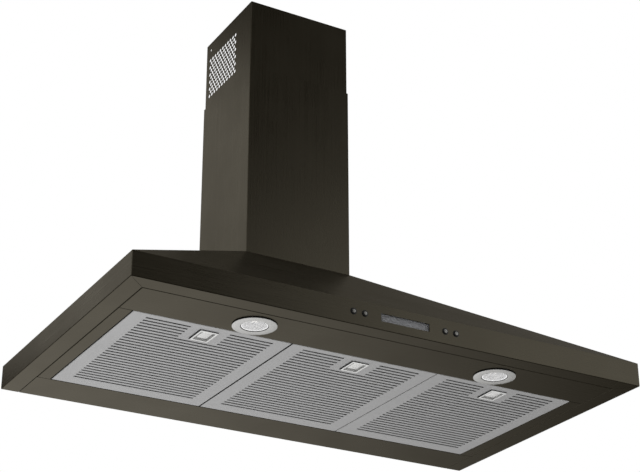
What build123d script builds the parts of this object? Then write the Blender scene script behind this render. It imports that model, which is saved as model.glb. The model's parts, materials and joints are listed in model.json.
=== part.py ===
from build123d import *
import os
from math import cos, radians, sin, sqrt

# Wall mount range hood with a pyramid canopy and a telescopic duct cover, in millimetres.
# Origin: on the wall, under the middle of the canopy, level with the lower face of its rim.
# X runs to the right as seen from the room, Y into the wall and Z up.

# Canopy
CANOPY_WIDTH = 911.0
CANOPY_DEPTH = 530.0
CANOPY_HEIGHT = 255.0
BAND_HEIGHT = 40.0
CANOPY_SHEET = 1.0
RIM_BEND = 0.9
RIM_WIDTH = 31.0
RIM_RETURN_HEIGHT = 12.0
MITRE_GAP = 0.5
MITRE_FROM_FOLD = 1.2
MITRE_FROM_EDGE = 1.5
TOP_FLANGE_WIDTH = 13.0

# Sheet parts inside the canopy
FIT_GAP = 0.3
PANEL_GAP = 0.5
PANEL_SHEET = 1.0
LAMP_PANEL_DEPTH = 84.2
REAR_FLANGE = 12.0
HANG_SPACING = 280.0
HANG_HEIGHT = 200.0
HANG_HEAD_RADIUS = 6.0
HANG_HEAD_SIDES = 12
HANG_SLOT_RADIUS = 3.0
HANG_SLOT_RISE = 12.0
ANCHOR_SPACING = 700.0
ANCHOR_HEIGHT = 26.0
ANCHOR_RADIUS = 3.0

# Duct covers
COVER_WIDTH = 207.0
COVER_DEPTH = 190.0
COVER_SHEET = 0.8
COVER_BEND = 0.9
COVER_LIP = 5.0
LOWER_COVER_HEIGHT = 372.0
UPPER_COVER_HEIGHT = 350.0
UPPER_COVER_REVEAL = 140.0
COVER_SLIDE_GAP = 0.8

# Side vents and bracket screw holes of the upper cover
VENT_RADIUS = 3.1
VENT_SIDES = 4
VENT_COLUMNS = 11
VENT_ROWS = 6
VENT_COLUMN_PITCH = 10.6
VENT_ROW_PITCH = 15.8
VENT_FROM_WALL = 18.0
VENT_FROM_TOP = 38.5
BRACKET_SCREW_RADIUS = 2.4
BRACKET_SCREW_FROM_WALL = 20.0
BRACKET_SCREW_FROM_TOP = 16.0

# Grease filters
FILTER_COUNT = 3
FILTER_GAP = 1.5
FILTER_FROM_WALL = 84.5
FILLER_WIDTH = 22.5
FILTER_SHEET = 0.8
FILTER_BEND = 0.7
FILTER_HEIGHT = 9.0
FILTER_SIDE_GAP = 1.75
FILTER_FRONT_GAP = 0.8
FILTER_REAR_GAP = 1.0
SLOT_ROWS = 27
SLOT_WIDTH = 4.6
SLOT_FROM_SIDE = 25.75
SLOT_FROM_FRONT = 14.6
SLOT_FROM_REAR = 31.0
SLOT_ROWS_AT_LATCH = 5
LATCH_FIELD = 66.0
MESH_LOW = 3.0
MESH_THICKNESS = 2.0
MESH_EDGE_GAP = 0.5
BACK_FRAME_WIDTH = 13.0
TAB_WIDTH = 26.0
TAB_SPACING = 180.0
TAB_REACH = 7.5

# Filter latches
LATCH_WIDTH = 30.0
LATCH_LENGTH = 41.0
LATCH_FROM_FRONT = 16.0
LATCH_RIM = 1.2
LATCH_RIM_WIDTH = 1.5
LATCH_RIM_EDGE = 0.4
LATCH_WALL = 0.8
LATCH_DEPTH = 7.6
LATCH_FIT = 0.3
PAD_WIDTH = 17.0
PAD_LENGTH = 27.0
PAD_EDGE = 0.6
PAD_FRONT_GAP = 0.5
TONGUE_WIDTH = 10.0
TONGUE_THICKNESS = 2.0
TONGUE_LOW = 4.0
TONGUE_LEDGE_GAP = 0.3

# Lamps
LAMP_SPACING = 438.0
LAMP_FROM_FRONT = 78.5
LAMP_RADIUS = 34.5
LAMP_EYE_RADIUS = 21.5
LAMP_PROUD = 2.0
LAMP_HOLE_RADIUS = 28.0
LAMP_SIDES = 40
LAMP_CLIPS = 2
LAMP_CLIP_WIDTH = 12.0
LAMP_CLIP_SHEET = 1.2
LAMP_CLIP_HEIGHT = 16.0
LAMP_CLIP_BARB = 3.0
LENS_THICKNESS = 0.8
REFLECTOR_SIDES = 16
REFLECTOR_WALL = 0.7
REFLECTOR_RIM_RADIUS = 25.0
REFLECTOR_MOUTH_RADIUS = 21.3
REFLECTOR_DEPTH = 10.0
REFLECTOR_TAPER = 52.0
MODULE_SIDES = 8
MODULE_RADIUS = 23.0
MODULE_BASE = 4.0
MODULE_HEIGHT = 18.0
MODULE_FINS = 6
MODULE_FIN_GAP = 4.0

# Controls in the front band
CONTROL_HEIGHT = 21.0
BUTTON_OFFSETS = (-92.5, -72.5, 72.5, 92.5)
BUTTON_NAMES = ("button_lamp", "button_slower", "button_faster", "button_power")
BUTTON_RADIUS = 4.4
BUTTON_SIDES = 24
BUTTON_HOLE_GAP = 0.5
BUTTON_PROUD = 2.0
BUTTON_FLANGE_WIDTH = 12.4
BUTTON_FLANGE = 1.2
BUTTON_STEM_WIDTH = 3.6
BUTTON_STEM_GAP = 0.3
BUTTON_TRAVEL = 1.5
DISPLAY_WIDTH = 87.0
DISPLAY_HEIGHT = 13.0
WINDOW_MARGIN = 3.0
WINDOW_THICKNESS = 1.2
BRACKET_WIDTH = 216.0
BRACKET_HEIGHT = 29.0
BRACKET_DEPTH = 7.5
BRACKET_WALL = 1.5
BOARD_GAP = 5.5
BOARD_THICKNESS = 1.6
SWITCH_SIZE = 6.0
SWITCH_PLUNGER_WIDTH = 3.0
SWITCH_PLUNGER = 1.0
DISPLAY_BODY_GAP = 2.0
DISPLAY_PIN_INSET = 3.0
DISPLAY_PIN_WIDTH = 4.0
DISPLAY_PIN_THICKNESS = 1.0
BOARD_SOCKET = (-30.0, 16.0, 9.0)
BOARD_CHIP = (35.0, 12.0, 12.0)
BOARD_PART_HEIGHT = 5.0

# Blower
FAN_AXIS_FROM_WALL = 140.0
FAN_AXIS_HEIGHT = 146.0
SCROLL_SHEET = 1.0
SCROLL_WIDTH = 120.0
SCROLL_START_RADIUS = 78.0
SCROLL_END_RADIUS = 105.0
SCROLL_TONGUE_ANGLE = 100.0
SCROLL_FOLDS = 10
SCROLL_FLANGE = 12.0
INLET_RADIUS = 54.0
SHAFT_HOLE_RADIUS = 8.0
IMPELLER_RADIUS = 70.0
IMPELLER_EYE_RADIUS = 56.0
IMPELLER_SIDE_GAP = 8.0
IMPELLER_DISC = 1.5
IMPELLER_RING = 1.5
IMPELLER_BLADES = 24
BLADE_THICKNESS = 1.0
BLADE_SWEEP = 4.0
HUB_RADIUS = 12.0
HUB_SIDES = 8
HUB_LENGTH = 16.0
SHAFT_RADIUS = 4.0
SHAFT_FIT = 0.05
SHAFT_DEPTH = 24.0
MOTOR_RADIUS = 42.0
MOTOR_SIDES = 36
MOTOR_LENGTH = 54.0
MOTOR_PLATE_WIDTH = 96.0
MOTOR_PLATE = 3.0

# Top plate, outlet collar and damper
TOP_PLATE_SHEET = 1.2
TOP_PLATE_FLANGE = 12.0
COLLAR_RADIUS = 74.75
COLLAR_SHEET = 0.8
COLLAR_HEIGHT = 45.0
COLLAR_FLANGE_WIDTH = 5.0
COLLAR_FROM_WALL = 95.0
FLAP_HEIGHT = 8.0
FLAP_SHEET = 0.6
FLAP_EDGE_GAP = 1.4
FLAP_ROD_RADIUS = 1.5
FLAP_ROD_SIDES = 12
FLAP_ROD_END_GAP = 0.45
FLAP_ROD_SPACING = 4.8
FLAP_SIDES = 48

# Wiring box
BOX_FROM_MIDDLE = 225.0
BOX_LOW = 44.0
BOX_WIDTH = 130.0
BOX_HEIGHT = 66.0
BOX_DEPTH = 46.0
BOX_SHEET = 1.0
KNOCKOUT_RADIUS = 11.1
CAPACITOR_WIDTH = 38.0
CAPACITOR_HEIGHT = 32.0
CAPACITOR_DEPTH = 22.0
TERMINAL_WAYS = 5
TERMINAL_PITCH = 8.0
TERMINAL_WIDTH = 16.0
TERMINAL_HEIGHT = 12.0
TERMINAL_FROM_MIDDLE = -39.0
TERMINAL_CELL_SHARE = 0.6
TERMINAL_CELL_DEPTH = 5.0
CAPACITOR_FROM_MIDDLE = 32.5
BOX_COVER_LAP = 12.0

os.makedirs("parts", exist_ok=True)

# Places that several parts share
half_width = CANOPY_WIDTH / 2
rim_inner_x = half_width - RIM_WIDTH
rim_inner_y = -(CANOPY_DEPTH - RIM_WIDTH)
panel_half_width = rim_inner_x - PANEL_GAP
filler_inner_x = panel_half_width - FILLER_WIDTH
filter_row_half_width = filler_inner_x - FILTER_SIDE_GAP
filter_pitch = (2 * filter_row_half_width + FILTER_GAP) / FILTER_COUNT
filter_width = filter_pitch - FILTER_GAP
lamp_panel_front_y = rim_inner_y + PANEL_GAP
lamp_panel_rear_y = lamp_panel_front_y + LAMP_PANEL_DEPTH
filter_front_y = lamp_panel_rear_y + FILTER_FRONT_GAP
filter_rear_y = -FILTER_FROM_WALL
filter_length = filter_rear_y - filter_front_y
rail_front_y = filter_rear_y + FILTER_REAR_GAP
filter_centres = [filter_pitch * (i - (FILTER_COUNT - 1) / 2) for i in range(FILTER_COUNT)]
filter_names = ("left", "centre", "right")
lamp_y = -(CANOPY_DEPTH - LAMP_FROM_FRONT)
upper_cover_top = CANOPY_HEIGHT + LOWER_COVER_HEIGHT + UPPER_COVER_REVEAL
upper_cover_inset = COVER_SHEET + COVER_SLIDE_GAP
fan_y = -FAN_AXIS_FROM_WALL
collar_y = -COLLAR_FROM_WALL
plate_top = CANOPY_HEIGHT + TOP_PLATE_SHEET
front_inner_y = -(CANOPY_DEPTH - CANOPY_SHEET)
to_wall = (Align.CENTER, Align.MAX)
filler_front_y = lamp_panel_rear_y + PANEL_GAP
filler_rear_y = rail_front_y - PANEL_GAP


# Canopy shell: one folded and welded sheet, open to the wall, where its front view meets its side view
front_view = [
    (-half_width, 0),
    (half_width, 0),
    (half_width, BAND_HEIGHT),
    (COVER_WIDTH / 2, CANOPY_HEIGHT),
    (-COVER_WIDTH / 2, CANOPY_HEIGHT),
    (-half_width, BAND_HEIGHT),
]
side_view = [
    (0, 0),
    (-CANOPY_DEPTH, 0),
    (-CANOPY_DEPTH, BAND_HEIGHT),
    (-COVER_DEPTH, CANOPY_HEIGHT),
    (0, CANOPY_HEIGHT),
]
with BuildPart(mode=Mode.PRIVATE) as canopy_cavity:
    with BuildSketch(Plane.XZ.offset(-CANOPY_DEPTH)):
        with BuildLine():
            Polyline(*front_view, close=True)
        make_face()
        offset(amount=-CANOPY_SHEET, kind=Kind.INTERSECTION, mode=Mode.REPLACE)
    extrude(amount=3 * CANOPY_DEPTH)
    with BuildSketch(Plane.YZ.offset(-half_width)):
        with BuildLine():
            Polyline(*side_view, close=True)
        make_face()
        offset(amount=-CANOPY_SHEET, kind=Kind.INTERSECTION, mode=Mode.REPLACE)
        with Locations((-2 * CANOPY_SHEET, CANOPY_SHEET)):
            Rectangle(4 * CANOPY_SHEET, CANOPY_HEIGHT - 2 * CANOPY_SHEET, align=(Align.MIN, Align.MIN))
    extrude(amount=CANOPY_WIDTH, mode=Mode.INTERSECT)

with BuildPart() as canopy_shell:
    with BuildSketch(Plane.XZ) as front_face:
        with BuildLine():
            Polyline(*front_view, close=True)
        make_face()
    extrude(amount=CANOPY_DEPTH)
    with BuildSketch(Plane.YZ.offset(-half_width)):
        with BuildLine():
            Polyline(*side_view, close=True)
        make_face()
    extrude(amount=CANOPY_WIDTH, mode=Mode.INTERSECT)
    front_corners = canopy_shell.edges().filter_by(Axis.Z).group_by(Axis.Y)[0]
    lower_edges = canopy_shell.edges().group_by(Axis.Z)[0].sort_by(Axis.Y)[:-1]
    chamfer(front_corners + lower_edges, length=RIM_BEND)
    add(canopy_cavity.part, mode=Mode.SUBTRACT)
    with BuildSketch(Plane.XY.offset(CANOPY_HEIGHT - CANOPY_SHEET)):
        Rectangle(COVER_WIDTH - 2 * TOP_FLANGE_WIDTH, COVER_DEPTH - TOP_FLANGE_WIDTH, align=to_wall)
    extrude(amount=CANOPY_SHEET, mode=Mode.SUBTRACT)
    with BuildSketch():
        Rectangle(2 * rim_inner_x, -rim_inner_y, align=to_wall)
    extrude(amount=CANOPY_SHEET, mode=Mode.SUBTRACT)
    with BuildSketch():
        with Locations((0, -REAR_FLANGE - FIT_GAP)):
            Rectangle(2 * (rim_inner_x + CANOPY_SHEET), -rim_inner_y + CANOPY_SHEET - REAR_FLANGE - FIT_GAP,
                      align=to_wall)
            Rectangle(2 * rim_inner_x, -rim_inner_y - REAR_FLANGE - FIT_GAP, align=to_wall,
                      mode=Mode.SUBTRACT)
    extrude(amount=RIM_RETURN_HEIGHT)
    rim_folds = canopy_shell.edges().group_by(Axis.Z)[0].filter_by(
        lambda edge: abs(abs(edge.center().X) - rim_inner_x) < FIT_GAP
        or abs(edge.center().Y - rim_inner_y) < FIT_GAP
    )
    chamfer(rim_folds, length=RIM_BEND)
    mitre_reach = RIM_WIDTH - MITRE_FROM_FOLD - MITRE_FROM_EDGE
    for side in (-1, 1):
        mitre_x = side * (rim_inner_x + MITRE_FROM_FOLD + mitre_reach / 2)
        mitre_y = rim_inner_y - MITRE_FROM_FOLD - mitre_reach / 2
        with BuildSketch():
            with Locations(Location((mitre_x, mitre_y, 0), (0, 0, -45 * side))):
                Rectangle(sqrt(2) * mitre_reach, MITRE_GAP)
        extrude(amount=CANOPY_SHEET, mode=Mode.SUBTRACT)
    with BuildSketch(Plane.XZ.offset(CANOPY_DEPTH)):
        with Locations((0, CONTROL_HEIGHT)):
            Rectangle(DISPLAY_WIDTH, DISPLAY_HEIGHT)
        with Locations(*[(x, CONTROL_HEIGHT) for x in BUTTON_OFFSETS]):
            RegularPolygon(BUTTON_RADIUS + BUTTON_HOLE_GAP, BUTTON_SIDES)
    extrude(amount=-2 * CANOPY_SHEET, mode=Mode.SUBTRACT)
canopy_shell.part.label = "canopy_shell"
export_step(canopy_shell.part, "parts/canopy_shell.step")

# Rear panel: a shallow tray inside the shell, against the wall
with BuildSketch(Plane.XZ) as rear_outline:
    add(front_face.sketch_local)
    offset(amount=-CANOPY_SHEET - FIT_GAP, kind=Kind.INTERSECTION, mode=Mode.REPLACE)
with BuildPart() as rear_panel:
    with BuildSketch(Plane.XZ):
        add(rear_outline.sketch_local)
    extrude(amount=REAR_FLANGE)
    with BuildSketch(Plane.XZ.offset(PANEL_SHEET)):
        add(rear_outline.sketch_local)
        offset(amount=-PANEL_SHEET, kind=Kind.INTERSECTION, mode=Mode.REPLACE)
    extrude(amount=REAR_FLANGE, mode=Mode.SUBTRACT)
    with BuildSketch(Plane.XZ):
        for hang_x in (-HANG_SPACING / 2, HANG_SPACING / 2):
            with Locations((hang_x, HANG_HEIGHT)):
                Rectangle(2 * HANG_SLOT_RADIUS, HANG_SLOT_RISE, align=(Align.CENTER, Align.MAX))
            with Locations((hang_x, HANG_HEIGHT - HANG_SLOT_RISE)):
                RegularPolygon(HANG_HEAD_RADIUS, HANG_HEAD_SIDES)
        with Locations((-ANCHOR_SPACING / 2, ANCHOR_HEIGHT), (ANCHOR_SPACING / 2, ANCHOR_HEIGHT)):
            Circle(ANCHOR_RADIUS)
        with Locations((BOX_FROM_MIDDLE, BOX_LOW + BOX_HEIGHT / 2)):
            Circle(KNOCKOUT_RADIUS)
    extrude(amount=PANEL_SHEET, mode=Mode.SUBTRACT)
rear_panel.part.label = "rear_panel"
export_step(rear_panel.part, "parts/rear_panel.step")

# Lamp panel: a tray behind the front rim, whose rear flange is the ledge for the filter latches
lamp_panel_middle_y = (lamp_panel_rear_y + lamp_panel_front_y) / 2
lamp_places = [(-LAMP_SPACING / 2, lamp_y), (LAMP_SPACING / 2, lamp_y)]
with BuildPart() as lamp_panel:
    with BuildSketch():
        with Locations((0, lamp_panel_middle_y)):
            Rectangle(2 * panel_half_width, LAMP_PANEL_DEPTH)
    extrude(amount=RIM_RETURN_HEIGHT)
    chamfer(lamp_panel.edges().group_by(Axis.Z)[0], length=RIM_BEND)
    with BuildSketch(Plane.XY.offset(PANEL_SHEET)):
        with Locations((0, lamp_panel_middle_y)):
            Rectangle(2 * (panel_half_width - PANEL_SHEET), LAMP_PANEL_DEPTH - 2 * PANEL_SHEET)
    extrude(amount=RIM_RETURN_HEIGHT, mode=Mode.SUBTRACT)
    with BuildSketch():
        with Locations(*lamp_places):
            Circle(LAMP_HOLE_RADIUS)
    extrude(amount=PANEL_SHEET, mode=Mode.SUBTRACT)
lamp_panel.part.label = "lamp_panel"
export_step(lamp_panel.part, "parts/lamp_panel.step")

# Rear rail: the rear strip, whose front flange carries the filter tabs
with BuildPart() as rear_rail:
    with BuildSketch():
        Rectangle(2 * panel_half_width, -rail_front_y, align=to_wall)
    extrude(amount=PANEL_SHEET)
    with BuildSketch():
        with Locations((0, -REAR_FLANGE - FIT_GAP)):
            Rectangle(2 * panel_half_width, -rail_front_y - REAR_FLANGE - FIT_GAP, align=to_wall)
    extrude(amount=RIM_RETURN_HEIGHT)
    rail_folds = rear_rail.edges().group_by(Axis.Z)[0].sort_by(Axis.Y)
    chamfer(rail_folds[0], length=RIM_BEND)
    with BuildSketch(Plane.XY.offset(PANEL_SHEET)):
        with Locations((0, -FIT_GAP)):
            Rectangle(2 * (panel_half_width - PANEL_SHEET), -rail_front_y - PANEL_SHEET - FIT_GAP,
                      align=to_wall)
    extrude(amount=RIM_RETURN_HEIGHT, mode=Mode.SUBTRACT)
rear_rail.part.label = "rear_rail"
export_step(rear_rail.part, "parts/rear_rail.step")

# Filler strips: channels between the outer filters and the rim
for side, name in ((-1, "filler_strip_left"), (1, "filler_strip_right")):
    filler_x = side * (filler_inner_x + panel_half_width) / 2
    with BuildPart() as filler_strip:
        with BuildSketch():
            with Locations((filler_x, (filler_front_y + filler_rear_y) / 2)):
                Rectangle(FILLER_WIDTH, filler_rear_y - filler_front_y)
        extrude(amount=RIM_RETURN_HEIGHT)
        chamfer(filler_strip.edges().group_by(Axis.Z)[0].filter_by(Axis.Y), length=RIM_BEND)
        with BuildSketch(Plane.XY.offset(PANEL_SHEET)):
            with Locations((filler_x, (filler_front_y + filler_rear_y) / 2)):
                Rectangle(FILLER_WIDTH - 2 * PANEL_SHEET, filler_rear_y - filler_front_y)
        extrude(amount=RIM_RETURN_HEIGHT, mode=Mode.SUBTRACT)
    filler_strip.part.label = name
    export_step(filler_strip.part, f"parts/{name}.step")

# Top plate: carries the blower below, the collar above and the lower cover around its flange
plate_half_width = COVER_WIDTH / 2 - COVER_SHEET - FIT_GAP
plate_depth = COVER_DEPTH - 2 * (COVER_SHEET + FIT_GAP)
plate_rear_y = -(COVER_SHEET + FIT_GAP)
scroll_tongue_y = fan_y + SCROLL_START_RADIUS * cos(radians(SCROLL_TONGUE_ANGLE))
scroll_rear_y = fan_y + SCROLL_END_RADIUS
outlet_y = (scroll_tongue_y + scroll_rear_y) / 2
outlet_depth = scroll_rear_y - scroll_tongue_y
with BuildPart() as top_plate:
    with BuildSketch(Plane.XY.offset(CANOPY_HEIGHT)):
        with Locations((0, plate_rear_y)):
            Rectangle(2 * plate_half_width, plate_depth, align=to_wall)
    extrude(amount=TOP_PLATE_SHEET + TOP_PLATE_FLANGE)
    with BuildSketch(Plane.XY.offset(plate_top)):
        with Locations((0, plate_rear_y - TOP_PLATE_SHEET)):
            Rectangle(2 * (plate_half_width - TOP_PLATE_SHEET), plate_depth - 2 * TOP_PLATE_SHEET,
                      align=to_wall)
    extrude(amount=TOP_PLATE_FLANGE, mode=Mode.SUBTRACT)
    with BuildSketch(Plane.XY.offset(CANOPY_HEIGHT)):
        with Locations((0, outlet_y)):
            Rectangle(SCROLL_WIDTH, outlet_depth)
    extrude(amount=TOP_PLATE_SHEET, mode=Mode.SUBTRACT)
top_plate.part.label = "top_plate"
export_step(top_plate.part, "parts/top_plate.step")


def duct_cover(width, depth, low, high, rear_y):
    """Three-sided cover with inward lips at the wall, from one height to another."""
    with BuildPart() as cover:
        with BuildSketch(Plane.XY.offset(low)):
            with Locations((0, rear_y)):
                Rectangle(width, depth, align=to_wall)
        extrude(amount=high - low)
        chamfer(cover.edges().filter_by(Axis.Z), length=COVER_BEND)
        with BuildSketch(Plane.XY.offset(low)):
            with Locations((0, rear_y - COVER_SHEET)):
                Rectangle(width - 2 * COVER_SHEET, depth - 2 * COVER_SHEET, align=to_wall)
            with Locations((0, rear_y)):
                Rectangle(width - 2 * COVER_LIP, 2 * COVER_SHEET, align=to_wall)
        extrude(amount=high - low, mode=Mode.SUBTRACT)
    return cover.part


# Lower duct cover: stands on the canopy and hides the duct
with BuildPart() as lower_duct_cover:
    add(duct_cover(COVER_WIDTH, COVER_DEPTH, CANOPY_HEIGHT, CANOPY_HEIGHT + LOWER_COVER_HEIGHT, 0.0))
lower_duct_cover.part.label = "lower_duct_cover"
export_step(lower_duct_cover.part, "parts/lower_duct_cover.step")

# Upper duct cover: slides inside the lower one, with vents and a bracket screw hole in each side
upper_width = COVER_WIDTH - 2 * upper_cover_inset
upper_depth = COVER_DEPTH - 2 * upper_cover_inset
vent_places = [
    (-VENT_FROM_WALL - VENT_COLUMN_PITCH * column, upper_cover_top - VENT_FROM_TOP - VENT_ROW_PITCH * row)
    for row in range(VENT_ROWS)
    for column in range(VENT_COLUMNS)
] + [
    (-VENT_FROM_WALL - VENT_COLUMN_PITCH * (column + 0.5),
     upper_cover_top - VENT_FROM_TOP - VENT_ROW_PITCH * (row + 0.5))
    for row in range(VENT_ROWS - 1)
    for column in range(VENT_COLUMNS - 1)
]
with BuildPart() as upper_duct_cover:
    add(duct_cover(upper_width, upper_depth, upper_cover_top - UPPER_COVER_HEIGHT, upper_cover_top,
                   -upper_cover_inset))
    with BuildSketch(Plane.YZ.offset(-upper_width / 2)):
        with Locations(*vent_places):
            RegularPolygon(VENT_RADIUS, VENT_SIDES)
        with Locations((-BRACKET_SCREW_FROM_WALL, upper_cover_top - BRACKET_SCREW_FROM_TOP)):
            Circle(BRACKET_SCREW_RADIUS)
    extrude(amount=upper_width, mode=Mode.SUBTRACT)
upper_duct_cover.part.label = "upper_duct_cover"
export_step(upper_duct_cover.part, "parts/upper_duct_cover.step")

# Lamps: bezel ring with two clips, faceted reflector, lens and finned module, one set on each side
for lamp_name, (lamp_x, _) in zip(("lamp_left", "lamp_right"), lamp_places):
    with BuildPart() as bezel:
        with BuildSketch(Plane.XY.offset(-LAMP_PROUD)):
            with Locations((lamp_x, lamp_y)):
                RegularPolygon(LAMP_RADIUS, LAMP_SIDES)
                RegularPolygon(LAMP_EYE_RADIUS, LAMP_SIDES, mode=Mode.SUBTRACT)
        extrude(amount=LAMP_PROUD)
        clip_radius = sqrt((LAMP_HOLE_RADIUS - FIT_GAP) ** 2 - (LAMP_CLIP_WIDTH / 2) ** 2)
        with BuildSketch():
            with Locations((lamp_x, lamp_y)):
                with PolarLocations(clip_radius, LAMP_CLIPS):
                    Rectangle(LAMP_CLIP_SHEET, LAMP_CLIP_WIDTH, align=(Align.MAX, Align.CENTER))
        extrude(amount=LAMP_CLIP_HEIGHT)
        with BuildSketch(Plane.XY.offset(PANEL_SHEET + FIT_GAP)):
            with Locations((lamp_x, lamp_y)):
                with PolarLocations(clip_radius, LAMP_CLIPS):
                    Rectangle(LAMP_CLIP_BARB, LAMP_CLIP_WIDTH, align=(Align.MIN, Align.CENTER))
        extrude(amount=LAMP_CLIP_SHEET)
    bezel.part.label = f"{lamp_name}_bezel"
    export_step(bezel.part, f"parts/{lamp_name}_bezel.step")

    with BuildPart() as reflector:
        with BuildSketch():
            with Locations((lamp_x, lamp_y)):
                RegularPolygon(REFLECTOR_RIM_RADIUS, REFLECTOR_SIDES)
        extrude(amount=REFLECTOR_WALL)
        for wall, mode in ((REFLECTOR_WALL, Mode.ADD), (0.0, Mode.SUBTRACT)):
            with BuildSketch():
                with Locations((lamp_x, lamp_y)):
                    RegularPolygon(REFLECTOR_MOUTH_RADIUS + wall, REFLECTOR_SIDES)
            extrude(amount=REFLECTOR_DEPTH, taper=REFLECTOR_TAPER, mode=mode)
    reflector.part.label = f"{lamp_name}_reflector"
    export_step(reflector.part, f"parts/{lamp_name}_reflector.step")

    with BuildPart() as lens:
        with BuildSketch(Plane.XY.offset(-LENS_THICKNESS)):
            with Locations((lamp_x, lamp_y)):
                RegularPolygon(LAMP_EYE_RADIUS - FIT_GAP, LAMP_SIDES)
        extrude(amount=LENS_THICKNESS)
    lens.part.label = f"{lamp_name}_lens"
    export_step(lens.part, f"parts/{lamp_name}_lens.step")

    with BuildPart() as module:
        with BuildSketch(Plane.XY.offset(REFLECTOR_DEPTH)):
            with Locations((lamp_x, lamp_y)):
                RegularPolygon(MODULE_RADIUS, MODULE_SIDES, major_radius=False)
        extrude(amount=MODULE_HEIGHT)
        with BuildSketch(Plane.XY.offset(REFLECTOR_DEPTH + MODULE_BASE)):
            with Locations((lamp_x, lamp_y)):
                with GridLocations(2 * MODULE_RADIUS / MODULE_FINS, 0, MODULE_FINS - 1, 1):
                    Rectangle(MODULE_FIN_GAP, 3 * MODULE_RADIUS)
        extrude(amount=MODULE_HEIGHT, mode=Mode.SUBTRACT)
    module.part.label = f"{lamp_name}_module"
    export_step(module.part, f"parts/{lamp_name}_module.step")

# Controls: everything stands behind the front band
band_plane = Plane.XZ.offset(-front_inner_y)
button_hole_places = [(x, CONTROL_HEIGHT) for x in BUTTON_OFFSETS]
bracket_base_front = -BRACKET_DEPTH
board_front = -(BRACKET_DEPTH + BRACKET_WALL + BOARD_GAP)
stem_end = bracket_base_front - BRACKET_WALL
switch_tip = stem_end - BUTTON_TRAVEL - BUTTON_STEM_GAP
window_width = DISPLAY_WIDTH + 2 * WINDOW_MARGIN
window_height = DISPLAY_HEIGHT + 2 * WINDOW_MARGIN

for button_x, button_name in zip(BUTTON_OFFSETS, BUTTON_NAMES):
    flange_front = -FIT_GAP
    with BuildPart() as button:
        with BuildSketch(band_plane.offset(flange_front)):
            with Locations((button_x, CONTROL_HEIGHT)):
                RegularPolygon(BUTTON_RADIUS, BUTTON_SIDES)
        extrude(amount=CANOPY_SHEET + BUTTON_PROUD + FIT_GAP)
        with BuildSketch(band_plane.offset(flange_front)):
            with Locations((button_x, CONTROL_HEIGHT)):
                Rectangle(BUTTON_FLANGE_WIDTH, BUTTON_FLANGE_WIDTH)
        extrude(amount=-BUTTON_FLANGE)
        with BuildSketch(band_plane.offset(flange_front - BUTTON_FLANGE)):
            with Locations((button_x, CONTROL_HEIGHT)):
                Rectangle(BUTTON_STEM_WIDTH, BUTTON_STEM_WIDTH)
        extrude(amount=stem_end - flange_front + BUTTON_FLANGE)
    button.part.label = button_name
    export_step(button.part, f"parts/{button_name}.step")

# Display window: a clear plate behind the opening in the band
with BuildPart() as display_window:
    with BuildSketch(band_plane.offset(-FIT_GAP)):
        with Locations((0, CONTROL_HEIGHT)):
            Rectangle(window_width, window_height)
    extrude(amount=-WINDOW_THICKNESS)
display_window.part.label = "display_window"
export_step(display_window.part, "parts/display_window.step")

# Display module: its body fills the bracket's opening and its pins reach the board
module_front = -FIT_GAP - WINDOW_THICKNESS - FIT_GAP
with BuildPart() as display_module:
    with BuildSketch(band_plane.offset(module_front)):
        with Locations((0, CONTROL_HEIGHT)):
            Rectangle(DISPLAY_WIDTH, DISPLAY_HEIGHT + WINDOW_MARGIN)
    extrude(amount=bracket_base_front - BRACKET_WALL - DISPLAY_BODY_GAP - module_front)
    with BuildSketch(band_plane.offset(bracket_base_front)):
        with Locations((0, CONTROL_HEIGHT)):
            with GridLocations(DISPLAY_WIDTH - 2 * DISPLAY_PIN_INSET, DISPLAY_HEIGHT - DISPLAY_PIN_INSET,
                               2, 2):
                Rectangle(DISPLAY_PIN_WIDTH, DISPLAY_PIN_THICKNESS)
    extrude(amount=board_front + FIT_GAP - bracket_base_front)
display_module.part.label = "display_module"
export_step(display_module.part, "parts/display_module.step")

# Control bracket: a tray clipped to the band, with a guide for each button stem
with BuildPart() as control_bracket:
    with BuildSketch(band_plane):
        with Locations((0, CONTROL_HEIGHT)):
            Rectangle(BRACKET_WIDTH, BRACKET_HEIGHT)
    extrude(amount=-(BRACKET_DEPTH + BRACKET_WALL))
    with BuildSketch(band_plane):
        with Locations((0, CONTROL_HEIGHT)):
            Rectangle(BRACKET_WIDTH - 2 * BRACKET_WALL, BRACKET_HEIGHT - 2 * BRACKET_WALL)
    extrude(amount=bracket_base_front, mode=Mode.SUBTRACT)
    with BuildSketch(band_plane.offset(bracket_base_front)):
        with Locations((0, CONTROL_HEIGHT)):
            Rectangle(DISPLAY_WIDTH + 2 * FIT_GAP, DISPLAY_HEIGHT + WINDOW_MARGIN + 2 * FIT_GAP)
        with Locations(*button_hole_places):
            Rectangle(BUTTON_STEM_WIDTH + 2 * BUTTON_STEM_GAP, BUTTON_STEM_WIDTH + 2 * BUTTON_STEM_GAP)
    extrude(amount=-BRACKET_WALL, mode=Mode.SUBTRACT)
    with BuildSketch(band_plane.offset(bracket_base_front - BRACKET_WALL)):
        with Locations((0, CONTROL_HEIGHT)):
            with GridLocations(BRACKET_WIDTH - 4 * BRACKET_WALL, BRACKET_HEIGHT - 4 * BRACKET_WALL, 2, 2):
                Rectangle(3 * BRACKET_WALL, 3 * BRACKET_WALL)
    extrude(amount=-(BOARD_GAP - FIT_GAP))
control_bracket.part.label = "control_bracket"
export_step(control_bracket.part, "parts/control_bracket.step")

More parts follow.
